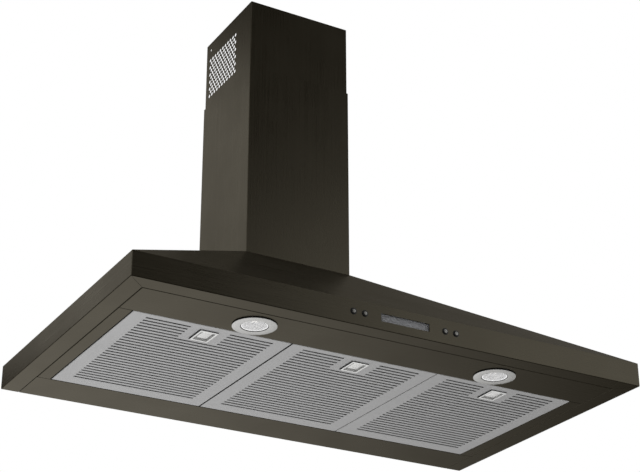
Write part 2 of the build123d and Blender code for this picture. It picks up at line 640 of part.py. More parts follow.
# Control board: circuit board with a key switch behind each button
with BuildPart() as control_board:
    with BuildSketch(band_plane.offset(board_front)):
        with Locations((0, CONTROL_HEIGHT)):
            Rectangle(BRACKET_WIDTH, BRACKET_HEIGHT)
    extrude(amount=-BOARD_THICKNESS)
    with BuildSketch(band_plane.offset(board_front)):
        with Locations(*button_hole_places):
            Rectangle(SWITCH_SIZE, SWITCH_SIZE)
    extrude(amount=switch_tip - SWITCH_PLUNGER - board_front)
    with BuildSketch(band_plane.offset(board_front)):
        with Locations(*button_hole_places):
            Rectangle(SWITCH_PLUNGER_WIDTH, SWITCH_PLUNGER_WIDTH)
    extrude(amount=switch_tip - board_front)
    with BuildSketch(band_plane.offset(board_front - BOARD_THICKNESS)):
        for part_x, part_width, part_height in (BOARD_SOCKET, BOARD_CHIP):
            with Locations((part_x, CONTROL_HEIGHT)):
                Rectangle(part_width, part_height)
    extrude(amount=-BOARD_PART_HEIGHT)
control_board.part.label = "control_board"
export_step(control_board.part, "parts/control_board.step")

# Grease filters: slotted tray, folded mesh, back frame with tabs, latch cup and latch slider
latch_front_y = filter_front_y + LATCH_FROM_FRONT
latch_y = latch_front_y + LATCH_LENGTH / 2
cup_width = LATCH_WIDTH - 2 * LATCH_RIM_WIDTH
cup_length = LATCH_LENGTH - 2 * LATCH_RIM_WIDTH
cup_front_inner_y = latch_y - cup_length / 2 + LATCH_WALL
filter_y = (filter_front_y + filter_rear_y) / 2
slot_length = filter_width - 2 * SLOT_FROM_SIDE
short_slot = (slot_length - LATCH_FIELD) / 2
slot_pitch = (filter_length - SLOT_FROM_FRONT - SLOT_FROM_REAR) / (SLOT_ROWS - 1)
mesh_inset = FILTER_SHEET + MESH_EDGE_GAP
tab_base = FILTER_HEIGHT + FILTER_SHEET
tab_low = RIM_RETURN_HEIGHT + FIT_GAP

for centre_x, position in zip(filter_centres, filter_names):
    with BuildPart() as filter_face:
        with BuildSketch():
            with Locations((centre_x, filter_y)):
                Rectangle(filter_width, filter_length)
        extrude(amount=FILTER_HEIGHT)
        chamfer(filter_face.edges().group_by(Axis.Z)[0], length=FILTER_BEND)
        with BuildSketch(Plane.XY.offset(FILTER_SHEET)):
            with Locations((centre_x, filter_y)):
                Rectangle(filter_width - 2 * FILTER_SHEET, filter_length - 2 * FILTER_SHEET)
        extrude(amount=FILTER_HEIGHT, mode=Mode.SUBTRACT)
        with BuildSketch():
            for row in range(SLOT_ROWS):
                slot_y = filter_front_y + SLOT_FROM_FRONT + slot_pitch * row
                if row < SLOT_ROWS_AT_LATCH:
                    for side in (-1, 1):
                        with Locations((centre_x + side * (LATCH_FIELD + short_slot) / 2, slot_y)):
                            Rectangle(short_slot, SLOT_WIDTH)
                else:
                    with Locations((centre_x, slot_y)):
                        Rectangle(slot_length, SLOT_WIDTH)
            with Locations((centre_x, latch_y)):
                Rectangle(cup_width + 2 * LATCH_FIT, cup_length + 2 * LATCH_FIT)
        extrude(amount=FILTER_SHEET, mode=Mode.SUBTRACT)
        with BuildSketch(Plane.XZ.offset(-filter_front_y)):
            with Locations((centre_x, TONGUE_LOW + TONGUE_THICKNESS / 2)):
                Rectangle(TONGUE_WIDTH + 2 * LATCH_FIT, TONGUE_THICKNESS + 2 * LATCH_FIT)
        extrude(amount=-FILTER_SHEET, mode=Mode.SUBTRACT)
    filter_face.part.label = f"filter_{position}_face"
    export_step(filter_face.part, f"parts/filter_{position}_face.step")

    with BuildPart() as filter_mesh:
        with BuildSketch(Plane.XY.offset(MESH_LOW)):
            with Locations((centre_x, filter_y)):
                Rectangle(filter_width - 2 * mesh_inset, filter_length - 2 * mesh_inset)
            with Locations((centre_x, filter_front_y)):
                Rectangle(LATCH_WIDTH, LATCH_FROM_FRONT + LATCH_LENGTH, align=(Align.CENTER, Align.MIN),
                          mode=Mode.SUBTRACT)
        extrude(amount=MESH_THICKNESS)
    filter_mesh.part.label = f"filter_{position}_mesh"
    export_step(filter_mesh.part, f"parts/filter_{position}_mesh.step")

    with BuildPart() as filter_back:
        with BuildSketch(Plane.XY.offset(FILTER_HEIGHT)):
            with Locations((centre_x, filter_y)):
                Rectangle(filter_width, filter_length)
                Rectangle(filter_width - 2 * BACK_FRAME_WIDTH, filter_length - 2 * BACK_FRAME_WIDTH,
                          mode=Mode.SUBTRACT)
                Rectangle(BACK_FRAME_WIDTH, filter_length)
        extrude(amount=FILTER_SHEET)
        tab_places = [(centre_x + side * TAB_SPACING / 2, filter_rear_y) for side in (-1, 1)]
        with BuildSketch(Plane.XY.offset(tab_base)):
            with Locations(*tab_places):
                Rectangle(TAB_WIDTH, FILTER_SHEET, align=(Align.CENTER, Align.MAX))
        extrude(amount=tab_low + FILTER_SHEET - tab_base)
        with BuildSketch(Plane.XY.offset(tab_low)):
            with Locations(*tab_places):
                Rectangle(TAB_WIDTH, TAB_REACH, align=(Align.CENTER, Align.MIN))
        extrude(amount=FILTER_SHEET)
    filter_back.part.label = f"filter_{position}_back_frame"
    export_step(filter_back.part, f"parts/filter_{position}_back_frame.step")

    with BuildPart() as latch_cup:
        with BuildSketch(Plane.XY.offset(-LATCH_RIM)):
            with Locations((centre_x, latch_y)):
                Rectangle(LATCH_WIDTH, LATCH_LENGTH)
        extrude(amount=LATCH_RIM)
        chamfer(latch_cup.edges().group_by(Axis.Z)[0], length=LATCH_RIM_EDGE)
        with BuildSketch():
            with Locations((centre_x, latch_y)):
                Rectangle(cup_width, cup_length)
        extrude(amount=LATCH_DEPTH + LATCH_WALL)
        with BuildSketch(Plane.XY.offset(-LATCH_RIM)):
            with Locations((centre_x, latch_y)):
                Rectangle(cup_width - 2 * LATCH_WALL, cup_length - 2 * LATCH_WALL)
        extrude(amount=LATCH_DEPTH + LATCH_RIM, mode=Mode.SUBTRACT)
        with BuildSketch(Plane.XZ.offset(-(cup_front_inner_y - LATCH_WALL))):
            with Locations((centre_x, TONGUE_LOW + TONGUE_THICKNESS / 2)):
                Rectangle(TONGUE_WIDTH + 2 * LATCH_FIT, TONGUE_THICKNESS + 2 * LATCH_FIT)
        extrude(amount=-LATCH_WALL, mode=Mode.SUBTRACT)
    latch_cup.part.label = f"filter_{position}_latch_cup"
    export_step(latch_cup.part, f"parts/filter_{position}_latch_cup.step")

    with BuildPart() as latch_slider:
        pad_front_y = cup_front_inner_y + PAD_FRONT_GAP
        with BuildSketch():
            with Locations((centre_x, pad_front_y)):
                Rectangle(PAD_WIDTH, PAD_LENGTH, align=(Align.CENTER, Align.MIN))
        extrude(amount=TONGUE_LOW)
        chamfer(latch_slider.edges().group_by(Axis.Z)[0], length=PAD_EDGE)
        with BuildSketch(Plane.XY.offset(TONGUE_LOW)):
            with Locations((centre_x, pad_front_y + PAD_LENGTH)):
                Rectangle(TONGUE_WIDTH, pad_front_y + PAD_LENGTH - lamp_panel_rear_y - TONGUE_LEDGE_GAP,
                          align=(Align.CENTER, Align.MAX))
        extrude(amount=TONGUE_THICKNESS)
    latch_slider.part.label = f"filter_{position}_latch_slider"
    export_step(latch_slider.part, f"parts/filter_{position}_latch_slider.step")


# Blower scroll: a spiral around the fan axis that opens upwards into the collar
def scroll_point(angle):
    """Point of the spiral at an angle from the wall side, in the plane of Y and Z."""
    turned = (angle - SCROLL_TONGUE_ANGLE) / (360.0 - SCROLL_TONGUE_ANGLE)
    radius = SCROLL_START_RADIUS + (SCROLL_END_RADIUS - SCROLL_START_RADIUS) * turned
    return (fan_y + radius * cos(radians(angle)), FAN_AXIS_HEIGHT + radius * sin(radians(angle)))


scroll_step = (360.0 - SCROLL_TONGUE_ANGLE) / SCROLL_FOLDS
with BuildSketch(Plane.YZ) as scroll_inside:
    with BuildLine():
        Polyline(
            *[scroll_point(SCROLL_TONGUE_ANGLE + scroll_step * i) for i in range(SCROLL_FOLDS + 1)],
            (scroll_rear_y, CANOPY_HEIGHT),
            (scroll_tongue_y, CANOPY_HEIGHT),
            close=True,
        )
    make_face()
with BuildSketch(Plane.YZ) as scroll_outside:
    add(scroll_inside.sketch_local)
    offset(amount=SCROLL_SHEET, kind=Kind.INTERSECTION, mode=Mode.REPLACE)
    with Locations((fan_y, CANOPY_HEIGHT)):
        Rectangle(4 * SCROLL_END_RADIUS, 4 * SCROLL_SHEET, align=(Align.CENTER, Align.MIN),
                  mode=Mode.SUBTRACT)

for side, name, opening_radius in (
    (-1, "blower_housing_left", INLET_RADIUS),
    (1, "blower_housing_right", SHAFT_HOLE_RADIUS),
):
    inner_x = SCROLL_WIDTH / 2
    outer_x = inner_x + SCROLL_SHEET
    outwards = (Align.MIN if side > 0 else Align.MAX, Align.CENTER)
    with BuildPart() as housing:
        with BuildSketch(Plane.YZ):
            add(scroll_outside.sketch_local)
        extrude(amount=side * outer_x)
        with BuildSketch(Plane.YZ):
            add(scroll_inside.sketch_local)
        extrude(amount=side * inner_x, mode=Mode.SUBTRACT)
        with BuildSketch(Plane.XY.offset(CANOPY_HEIGHT - SCROLL_SHEET)):
            with Locations((0, outlet_y)):
                Rectangle(outer_x + SCROLL_FLANGE, outlet_depth + 2 * SCROLL_FLANGE, align=outwards)
                Rectangle(inner_x, outlet_depth, align=outwards, mode=Mode.SUBTRACT)
        extrude(amount=SCROLL_SHEET)
        with BuildSketch(Plane.YZ.offset(side * inner_x)):
            with Locations((fan_y, FAN_AXIS_HEIGHT)):
                Circle(opening_radius)
        extrude(amount=side * SCROLL_SHEET, mode=Mode.SUBTRACT)
    housing.part.label = name
    export_step(housing.part, f"parts/{name}.step")

# Impeller: open at the inlet on the left, with its disc and hub on the motor's side
fan_plane = Plane(origin=(0, fan_y, FAN_AXIS_HEIGHT), x_dir=(0, 1, 0), z_dir=(1, 0, 0))
impeller_left = -SCROLL_WIDTH / 2 + IMPELLER_SIDE_GAP
impeller_right = SCROLL_WIDTH / 2 - IMPELLER_SIDE_GAP
impeller_width = impeller_right - impeller_left
blade_inner = IMPELLER_EYE_RADIUS + 0.5
blade_outer = IMPELLER_RADIUS - 0.5
wheel_sides = 2 * IMPELLER_BLADES
with BuildSketch(mode=Mode.PRIVATE) as blade:
    with BuildLine():
        Polyline(
            (blade_inner, 0),
            (blade_outer, BLADE_SWEEP),
            (blade_outer, BLADE_SWEEP + BLADE_THICKNESS),
            (blade_inner, BLADE_THICKNESS),
            close=True,
        )
    make_face()
with BuildPart() as impeller:
    with BuildSketch(fan_plane.offset(impeller_left)):
        with PolarLocations(0, IMPELLER_BLADES):
            add(blade.sketch)
    extrude(amount=impeller_width)
    with BuildSketch(fan_plane.offset(impeller_left)):
        RegularPolygon(IMPELLER_RADIUS, wheel_sides)
        RegularPolygon(IMPELLER_EYE_RADIUS, wheel_sides, mode=Mode.SUBTRACT)
    extrude(amount=IMPELLER_RING)
    with BuildSketch(fan_plane.offset(impeller_right)):
        RegularPolygon(IMPELLER_RADIUS, wheel_sides)
    extrude(amount=-IMPELLER_DISC)
    with BuildSketch(fan_plane.offset(impeller_right)):
        RegularPolygon(HUB_RADIUS, HUB_SIDES)
    extrude(amount=-HUB_LENGTH)
    with BuildSketch(fan_plane.offset(impeller_right)):
        Circle(SHAFT_RADIUS)
    extrude(amount=-HUB_LENGTH, mode=Mode.SUBTRACT)
impeller.part.label = "impeller"
export_step(impeller.part, "parts/impeller.step")

# Motor: its plate lies on the right half of the housing, and its shaft carries the impeller
motor_start = SCROLL_WIDTH / 2 + SCROLL_SHEET
shaft_start = impeller_right - HUB_LENGTH
shaft_length = motor_start + SHAFT_DEPTH - shaft_start
with BuildPart() as motor_shaft:
    with BuildSketch(fan_plane.offset(shaft_start)):
        Circle(SHAFT_RADIUS)
    extrude(amount=shaft_length)
motor_shaft.part.label = "motor_shaft"
export_step(motor_shaft.part, "parts/motor_shaft.step")

with BuildPart() as motor:
    with BuildSketch(fan_plane.offset(motor_start)):
        Rectangle(MOTOR_PLATE_WIDTH, MOTOR_PLATE_WIDTH)
    extrude(amount=MOTOR_PLATE)
    with BuildSketch(fan_plane.offset(motor_start + MOTOR_PLATE)):
        RegularPolygon(MOTOR_RADIUS, MOTOR_SIDES)
    extrude(amount=MOTOR_LENGTH)
    with BuildSketch(fan_plane.offset(motor_start)):
        Circle(SHAFT_RADIUS + SHAFT_FIT)
    extrude(amount=SHAFT_DEPTH + FIT_GAP, mode=Mode.SUBTRACT)
motor.part.label = "motor"
export_step(motor.part, "parts/motor.step")

# Outlet collar on the top plate, with two damper flaps that hang on their own rods
flap_z = plate_top + FLAP_HEIGHT
collar_inner_radius = COLLAR_RADIUS - COLLAR_SHEET
with BuildPart() as outlet_collar:
    with BuildSketch(Plane.XY.offset(plate_top)):
        with Locations((0, collar_y)):
            Rectangle(2 * (COLLAR_RADIUS + COLLAR_FLANGE_WIDTH), 2 * (COLLAR_RADIUS + COLLAR_FLANGE_WIDTH))
    extrude(amount=COLLAR_SHEET)
    with BuildSketch(Plane.XY.offset(plate_top)):
        with Locations((0, collar_y)):
            Circle(COLLAR_RADIUS)
    extrude(amount=COLLAR_HEIGHT)
    with BuildSketch(Plane.XY.offset(plate_top)):
        with Locations((0, collar_y)):
            Circle(collar_inner_radius)
    extrude(amount=COLLAR_HEIGHT, mode=Mode.SUBTRACT)
outlet_collar.part.label = "outlet_collar"
export_step(outlet_collar.part, "parts/outlet_collar.step")

rod_end = collar_inner_radius - FLAP_ROD_END_GAP
for name, outwards in (("damper_flap_front", -1), ("damper_flap_rear", 1)):
    rod_y = collar_y + outwards * FLAP_ROD_SPACING / 2
    with BuildPart() as flap:
        with BuildSketch(Plane.XY.offset(flap_z - FLAP_SHEET / 2)):
            with Locations((0, collar_y)):
                RegularPolygon(collar_inner_radius - FLAP_EDGE_GAP, FLAP_SIDES)
            with Locations((0, rod_y)):
                Rectangle(2 * COLLAR_RADIUS, 2 * COLLAR_RADIUS, mode=Mode.SUBTRACT,
                          align=(Align.CENTER, Align.MAX if outwards > 0 else Align.MIN))
        extrude(amount=FLAP_SHEET)
        with BuildSketch(Plane.YZ.offset(-rod_end)):
            with Locations((rod_y, flap_z)):
                RegularPolygon(FLAP_ROD_RADIUS, FLAP_ROD_SIDES)
        extrude(amount=2 * rod_end)
    flap.part.label = name
    export_step(flap.part, f"parts/{name}.step")

# Wiring box on the rear panel, with its cover, terminal block and run capacitor
box_rear_y = -PANEL_SHEET
box_front_y = box_rear_y - BOX_DEPTH
box_middle_z = BOX_LOW + BOX_HEIGHT / 2
with BuildPart() as wiring_box:
    with BuildSketch(Plane.XZ.offset(-box_rear_y)):
        with Locations((BOX_FROM_MIDDLE, box_middle_z)):
            Rectangle(BOX_WIDTH, BOX_HEIGHT)
    extrude(amount=BOX_DEPTH)
    with BuildSketch(Plane.XZ.offset(-box_rear_y + BOX_SHEET)):
        with Locations((BOX_FROM_MIDDLE, box_middle_z)):
            Rectangle(BOX_WIDTH - 2 * BOX_SHEET, BOX_HEIGHT - 2 * BOX_SHEET)
    extrude(amount=BOX_DEPTH, mode=Mode.SUBTRACT)
    with BuildSketch(Plane.XZ.offset(-box_rear_y)):
        with Locations((BOX_FROM_MIDDLE, box_middle_z)):
            Circle(KNOCKOUT_RADIUS)
    extrude(amount=BOX_SHEET, mode=Mode.SUBTRACT)
wiring_box.part.label = "wiring_box"
export_step(wiring_box.part, "parts/wiring_box.step")

with BuildPart() as wiring_box_cover:
    with BuildSketch(Plane.XZ.offset(-box_front_y)):
        with Locations((BOX_FROM_MIDDLE, box_middle_z)):
            Rectangle(BOX_WIDTH + 2 * (BOX_SHEET + FIT_GAP), BOX_HEIGHT)
    extrude(amount=BOX_SHEET)
    with BuildSketch(Plane.XZ.offset(-box_front_y)):
        for side in (-1, 1):
            lap_x = BOX_FROM_MIDDLE + side * (BOX_WIDTH / 2 + FIT_GAP + BOX_SHEET / 2)
            with Locations((lap_x, box_middle_z)):
                Rectangle(BOX_SHEET, BOX_HEIGHT)
    extrude(amount=-BOX_COVER_LAP)
wiring_box_cover.part.label = "wiring_box_cover"
export_step(wiring_box_cover.part, "parts/wiring_box_cover.step")

inside_rear_y = box_rear_y - BOX_SHEET
terminal_x = BOX_FROM_MIDDLE + TERMINAL_FROM_MIDDLE
with BuildPart() as terminal_block:
    with BuildSketch(Plane.XZ.offset(-inside_rear_y)):
        with Locations((terminal_x, box_middle_z)):
            Rectangle(TERMINAL_WIDTH, TERMINAL_PITCH * TERMINAL_WAYS)
    extrude(amount=TERMINAL_HEIGHT)
    with BuildSketch(Plane.XZ.offset(-inside_rear_y + TERMINAL_HEIGHT)):
        with Locations((terminal_x, box_middle_z)):
            with GridLocations(0, TERMINAL_PITCH, 1, TERMINAL_WAYS):
                Rectangle(TERMINAL_WIDTH * TERMINAL_CELL_SHARE, TERMINAL_PITCH * TERMINAL_CELL_SHARE)
    extrude(amount=-TERMINAL_CELL_DEPTH, mode=Mode.SUBTRACT)
terminal_block.part.label = "terminal_block"
export_step(terminal_block.part, "parts/terminal_block.step")

with BuildPart() as run_capacitor:
    with BuildSketch(Plane.XZ.offset(-inside_rear_y)):
        with Locations((BOX_FROM_MIDDLE + CAPACITOR_FROM_MIDDLE, box_middle_z)):
            Rectangle(CAPACITOR_WIDTH, CAPACITOR_HEIGHT)
    extrude(amount=CAPACITOR_DEPTH)
run_capacitor.part.label = "run_capacitor"
export_step(run_capacitor.part, "parts/run_capacitor.step")
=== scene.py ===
import json
import logging
import math
from contextlib import contextmanager
from dataclasses import dataclass, field
from enum import Enum
from itertools import product
from typing import Any, Iterable, Iterator, Sequence, Union

import bmesh
import bpy
from mathutils import Euler, Matrix, Vector


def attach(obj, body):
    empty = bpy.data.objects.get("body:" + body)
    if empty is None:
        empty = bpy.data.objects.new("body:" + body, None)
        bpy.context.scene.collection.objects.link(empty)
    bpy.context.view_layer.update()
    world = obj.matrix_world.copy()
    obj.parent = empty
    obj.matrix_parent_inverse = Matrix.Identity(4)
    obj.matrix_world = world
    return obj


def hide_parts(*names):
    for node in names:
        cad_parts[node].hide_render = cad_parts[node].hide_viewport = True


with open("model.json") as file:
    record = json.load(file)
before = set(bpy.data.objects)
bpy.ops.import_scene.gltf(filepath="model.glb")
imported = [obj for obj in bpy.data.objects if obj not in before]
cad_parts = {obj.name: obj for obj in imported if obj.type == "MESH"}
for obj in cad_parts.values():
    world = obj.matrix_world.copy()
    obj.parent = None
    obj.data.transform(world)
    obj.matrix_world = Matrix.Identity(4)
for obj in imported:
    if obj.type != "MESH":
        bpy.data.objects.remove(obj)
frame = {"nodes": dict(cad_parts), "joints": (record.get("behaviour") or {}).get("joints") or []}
log = logging.getLogger("range_hood")

Point = tuple[float, float, float]
Colour = tuple[float, float, float]
Outline = Sequence[tuple[float, float]]

# Points nearer than WELD become one, and edges with a sharper turn than SHARP are rounded
MM = 0.001
WELD = 0.002 * MM
SHARP = math.radians(35.0)

UP = (0.0, 0.0, 1.0)
DOWN = (0.0, 0.0, -1.0)
RIGHT = (1.0, 0.0, 0.0)
FRONT = (0.0, -1.0, 0.0)
BACK = (0.0, 1.0, 0.0)
SIDES = ("left", "right")
POSITIONS = ("left", "centre", "right")


class Grain(Enum):
    """Direction that a brushed sheet was rolled and brushed in."""

    ACROSS = (1.0, 0.0, 0.0)
    DEEP = (0.0, 1.0, 0.0)
    UPRIGHT = (0.0, 0.0, 1.0)
    FOLDED = (1.0, 1.0, 0.0)


class Symbol(Enum):
    """Mark on a push button, with the name of the button that wears it."""

    LAMP = "button_lamp"
    SLOWER = "button_slower"
    FASTER = "button_faster"
    POWER = "button_power"


@dataclass
class Signal:
    """One output socket of a node tree, with arithmetic on it."""

    graph: "Graph"
    socket: bpy.types.NodeSocket

    def _math(self, operation: str, first: "Value", second: "Value" = 0.0) -> "Signal":
        """Add one Math node and return what it gives."""
        node = self.graph.node("ShaderNodeMath", {"operation": operation}, {0: first, 1: second})
        return self.graph.signal(node)

    def __add__(self, other: "Value") -> "Signal":
        """Sum."""
        return self._math("ADD", self, other)

    def __sub__(self, other: "Value") -> "Signal":
        """Difference."""
        return self._math("SUBTRACT", self, other)

    def __rsub__(self, other: "Value") -> "Signal":
        """Difference from a value."""
        return self._math("SUBTRACT", other, self)

    def __mul__(self, other: "Value") -> "Signal":
        """Product."""
        return self._math("MULTIPLY", self, other)

    def __pow__(self, other: "Value") -> "Signal":
        """Power."""
        return self._math("POWER", self, other)

    def __gt__(self, other: "Value") -> "Signal":
        """1 where this is more than the other, and 0 elsewhere."""
        return self._math("GREATER_THAN", self, other)

    def __lt__(self, other: "Value") -> "Signal":
        """1 where this is less than the other, and 0 elsewhere."""
        return self._math("LESS_THAN", self, other)

    __radd__ = __add__
    __rmul__ = __mul__

    def sine(self) -> "Signal":
        """Sine of the value in radians."""
        return self._math("SINE", self)

    def size(self) -> "Signal":
        """Absolute value."""
        return self._math("ABSOLUTE", self)

    def most(self, other: "Value") -> "Signal":
        """The larger of the two."""
        return self._math("MAXIMUM", self, other)

    def spread(self, low: float, high: float, start: float = 0.0, end: float = 1.0) -> "Signal":
        """Carry the range low to high over to start to end, clamped."""
        sockets = {0: self, 1: low, 2: high, 3: start, 4: end}
        return self.graph.signal(self.graph.node("ShaderNodeMapRange", {"clamp": True}, sockets))


Value = Union[Signal, float, int, Sequence[float]]


@dataclass
class Graph:
    """A node tree that a finish writes itself into."""

    tree: bpy.types.NodeTree

    def __post_init__(self) -> None:
        """Empty the tree."""
        self.tree.nodes.clear()

    def node(self, kind: str, settings: dict[str, Any], sockets: dict[Any, Value]) -> bpy.types.Node:
        """Add a node, first with its settings and then with its sockets.

        Args:
            kind: The node's type.
            settings: The node's own properties.
            sockets: Values or links, by the socket's name or number.

        Returns:
            The new node.
        """
        made = self.tree.nodes.new(kind)
        for name, value in settings.items():
            setattr(made, name, value)
        for name, value in sockets.items():
            if isinstance(value, Signal):
                self.tree.links.new(value.socket, made.inputs[name])
            else:
                made.inputs[name].default_value = value
        return made

    def signal(self, node: bpy.types.Node, output: Union[str, int] = 0) -> Signal:
        """One output of a node."""
        return Signal(self, node.outputs[output])

    def place(self, scale: Point = (1.0, 1.0, 1.0)) -> Signal:
        """Coordinates of the object in metres, scaled along each axis."""
        where = self.signal(self.node("ShaderNodeTexCoord", {}, {}), "Object")
        return self.signal(self.node("ShaderNodeMapping", {}, {"Vector": where, "Scale": scale}))

    def facing(self) -> Signal:
        """Direction that the surface faces, in the object's own axes."""
        return self.signal(self.node("ShaderNodeTexCoord", {}, {}), "Normal")

    def parts(self, vector: Signal) -> tuple[Signal, Signal, Signal]:
        """The three numbers of a vector."""
        node = self.node("ShaderNodeSeparateXYZ", {}, {0: vector})
        return self.signal(node, 0), self.signal(node, 1), self.signal(node, 2)

    def noise(self, vector: Signal, detail: float = 2.0, rough: float = 0.5, scale: float = 1.0) -> Signal:
        """Smooth noise between 0 and 1, read at a place times scale."""
        sockets = {"Vector": vector, "Scale": scale, "Detail": detail, "Roughness": rough}
        return self.signal(self.node("ShaderNodeTexNoise", {}, sockets))

    def mottle(self, rate: float, detail: float = 2.0) -> Signal:
        """Smooth noise all over the object, with about that many spots in a metre."""
        return self.noise(self.place((rate, rate, rate)), detail)

    def mix(self, share: Value, first: Value, second: Value) -> Signal:
        """Blend of two colours, or of two places."""
        settings = {"data_type": "RGBA", "clamp_factor": True}
        return self.signal(self.node("ShaderNodeMix", settings, {0: share, 6: first, 7: second}), 2)

    def bump(self, height: Signal, strength: float, depth: float) -> Signal:
        """Normal of a surface with that height, in metres at a height of 1."""
        sockets = {"Height": height, "Strength": strength, "Distance": depth}
        return self.signal(self.node("ShaderNodeBump", {}, sockets), "Normal")


def rgba(colour: Colour, share: float = 1.0) -> tuple[float, float, float, float]:
    """Opaque colour, made darker or lighter by a share."""
    return (*(part * share for part in colour), 1.0)


@dataclass(frozen=True)
class Finish:
    """A surface finish that any piece can wear."""

    name: str
    colour: Colour

    def write(self, graph: Graph) -> dict[str, Value]:
        """Sockets of the surface shader. Each kind of finish gives its own."""
        raise NotImplementedError

    def toned(self, graph: Graph, tone: Signal, low: float, high: float) -> Signal:
        """The colour, times low where the tone is 0 and times high where it is 1."""
        return graph.mix(tone, rgba(self.colour, low), rgba(self.colour, high))

    def material(self) -> bpy.types.Material:
        """The Blender material, made the first time that it is asked for.

        Returns:
            The material of this name.
        """
        found = bpy.data.materials.get(self.name)
        if found:
            return found
        made = bpy.data.materials.new(self.name)
        made.use_nodes = True
        graph = Graph(made.node_tree)
        shader = graph.node("ShaderNodeBsdfPrincipled", {}, self.write(graph))
        graph.node("ShaderNodeOutputMaterial", {}, {"Surface": graph.signal(shader)})
        return made

    def dress(self, piece: bpy.types.Object) -> None:
        """Put the finish on a piece."""
        piece.data.materials.clear()
        piece.data.materials.append(self.material())


@dataclass(frozen=True)
class BrushedSheet(Finish):
    """Brushed metal, with fine lines along its grain and a soft wave from rolling."""

    grain: Grain = Grain.ACROSS
    roughness: float = 0.30
    metallic: float = 1.0
    line: float = 0.35 * MM
    reach: float = 60.0 * MM
    smears: float = 9.0
    contrast: float = 0.10
    relief: float = 0.012 * MM
    edge_tint: Colour = (1.0, 1.0, 1.0)
    side_wall: float = 0.6

    def stretch(self, graph: Graph, grain: Grain) -> Signal:
        """Place that is drawn out along the grain and fine across it."""
        return graph.place(tuple(1 / self.reach if along else 1 / self.line for along in grain.value))

    def write(self, graph: Graph) -> dict[str, Value]:
        """Streaks in colour, roughness and relief, which turn with the walls of a folded sheet.

        Args:
            graph: Tree to write into.

        Returns:
            Sockets of the surface shader.
        """
        if self.grain is Grain.FOLDED:
            sideways, _, _ = graph.parts(graph.facing())
            front, side = (self.stretch(graph, grain) for grain in (Grain.ACROSS, Grain.DEEP))
            where = graph.mix(sideways.size() > self.side_wall, front, side)
        else:
            where = self.stretch(graph, self.grain)
        # Fine lines over broader bands along the same grain, and smears that only the gloss shows
        streak = graph.noise(where, detail=3.0, rough=0.6)
        broad = graph.noise(where, scale=0.16)
        tone = streak * 0.6 + broad * 0.4
        sheen = tone.spread(0.3, 0.7, self.roughness - 0.05, self.roughness + 0.05)
        smear = graph.mottle(self.smears, 3.0).spread(0.35, 0.7, -0.02, 0.03)
        low, high = 1.0 - self.contrast, 1.0 + self.contrast
        return {
            "Base Color": self.toned(graph, tone.spread(0.32, 0.68), low, high),
            "Metallic": self.metallic,
            "Roughness": sheen + smear,
            "Specular Tint": rgba(self.edge_tint),
            "Normal": graph.bump(streak, 0.35, self.relief),
        }


@dataclass(frozen=True)
class TraySheet(BrushedSheet):
    """Brushed filter tray with painted shade: its side walls and a strip along the seam at the left of the
    middle tray are darkened.
    """

    seam_x: float = -133.5 * MM
    seam_half: float = 1.6 * MM
    painted_shade_tone: float = 0.08
    tray_wall: float = 0.9

    def write(self, graph: Graph) -> dict[str, Value]:
        """Brushed face, with painted shade on the side walls and along the seam at the left of the middle
        tray.

        Args:
            graph: Tree to write into.

        Returns:
            Sockets of the surface shader.
        """
        sockets = super().write(graph)
        sideways, _, _ = graph.parts(graph.facing())
        across, _, _ = graph.parts(graph.place())
        # Painted shade for the gaps between trays: faces turned sideways and a strip along the left seam
        # are darkened
        turned = (sideways.size() > self.tray_wall).most((across - self.seam_x).size() < self.seam_half)
        sockets["Base Color"] = graph.mix(turned, sockets["Base Color"], rgba(self.colour, self.painted_shade_tone))
        return sockets


@dataclass(frozen=True)
class ZincSheet(Finish):
    """Zinc coated steel with flat crystal flakes."""

    flake: float = 14.0 * MM
    specks: float = 40.0

    def write(self, graph: Graph) -> dict[str, Value]:
        """Flakes of slightly different tone and gloss.

        Args:
            graph: Tree to write into.

        Returns:
            Sockets of the surface shader.
        """
        where = graph.place((1 / self.flake,) * 3)
        flakes = graph.node("ShaderNodeTexVoronoi", {}, {"Vector": where, "Scale": 1.0, "Randomness": 1.0})
        tone, _, _ = graph.parts(graph.signal(flakes, "Color"))
        dust = graph.mottle(self.specks, 4.0)
        mixed = tone * 0.75 + dust * 0.25
        return {
            "Base Color": self.toned(graph, mixed, 0.82, 1.10),
            "Metallic": 0.9,
            "Roughness": mixed.spread(0.0, 1.0, 0.38, 0.52),
            "Normal": graph.bump(dust, 0.2, 0.1 * MM),
        }


@dataclass(frozen=True)
class CastMetal(Finish):
    """Cast or pressed metal with a fine sandy skin."""

    roughness: float = 0.45
    metallic: float = 1.0
    pit: float = 0.6 * MM
    clouds: float = 60.0

    def write(self, graph: Graph) -> dict[str, Value]:
        """Fine pits and a cloudy tone.

        Args:
            graph: Tree to write into.

        Returns:
            Sockets of the surface shader.
        """
        cloud = graph.mottle(self.clouds, 3.0)
        return {
            "Base Color": self.toned(graph, cloud.spread(0.3, 0.7), 0.88, 1.08),
            "Metallic": self.metallic,
            "Roughness": cloud.spread(0.3, 0.7, self.roughness - 0.06, self.roughness + 0.06),
            "Normal": graph.bump(graph.mottle(1 / self.pit), 0.3, 0.03 * MM),
        }


@dataclass(frozen=True)
class PolishedMetal(Finish):
    """Bright pressed metal with faint handling marks."""

    roughness: float = 0.12
    smears: float = 120.0

    def write(self, graph: Graph) -> dict[str, Value]:
        """Faint smears that dull the polish.

        Args:
            graph: Tree to write into.

        Returns:
            Sockets of the surface shader.
        """
        smear = graph.mottle(self.smears, 4.0)
        return {
            "Base Color": self.toned(graph, smear.spread(0.35, 0.7), 1.0, 0.93),
            "Metallic": 1.0,
            "Roughness": smear.spread(0.35, 0.7, self.roughness, self.roughness + 0.08),
        }


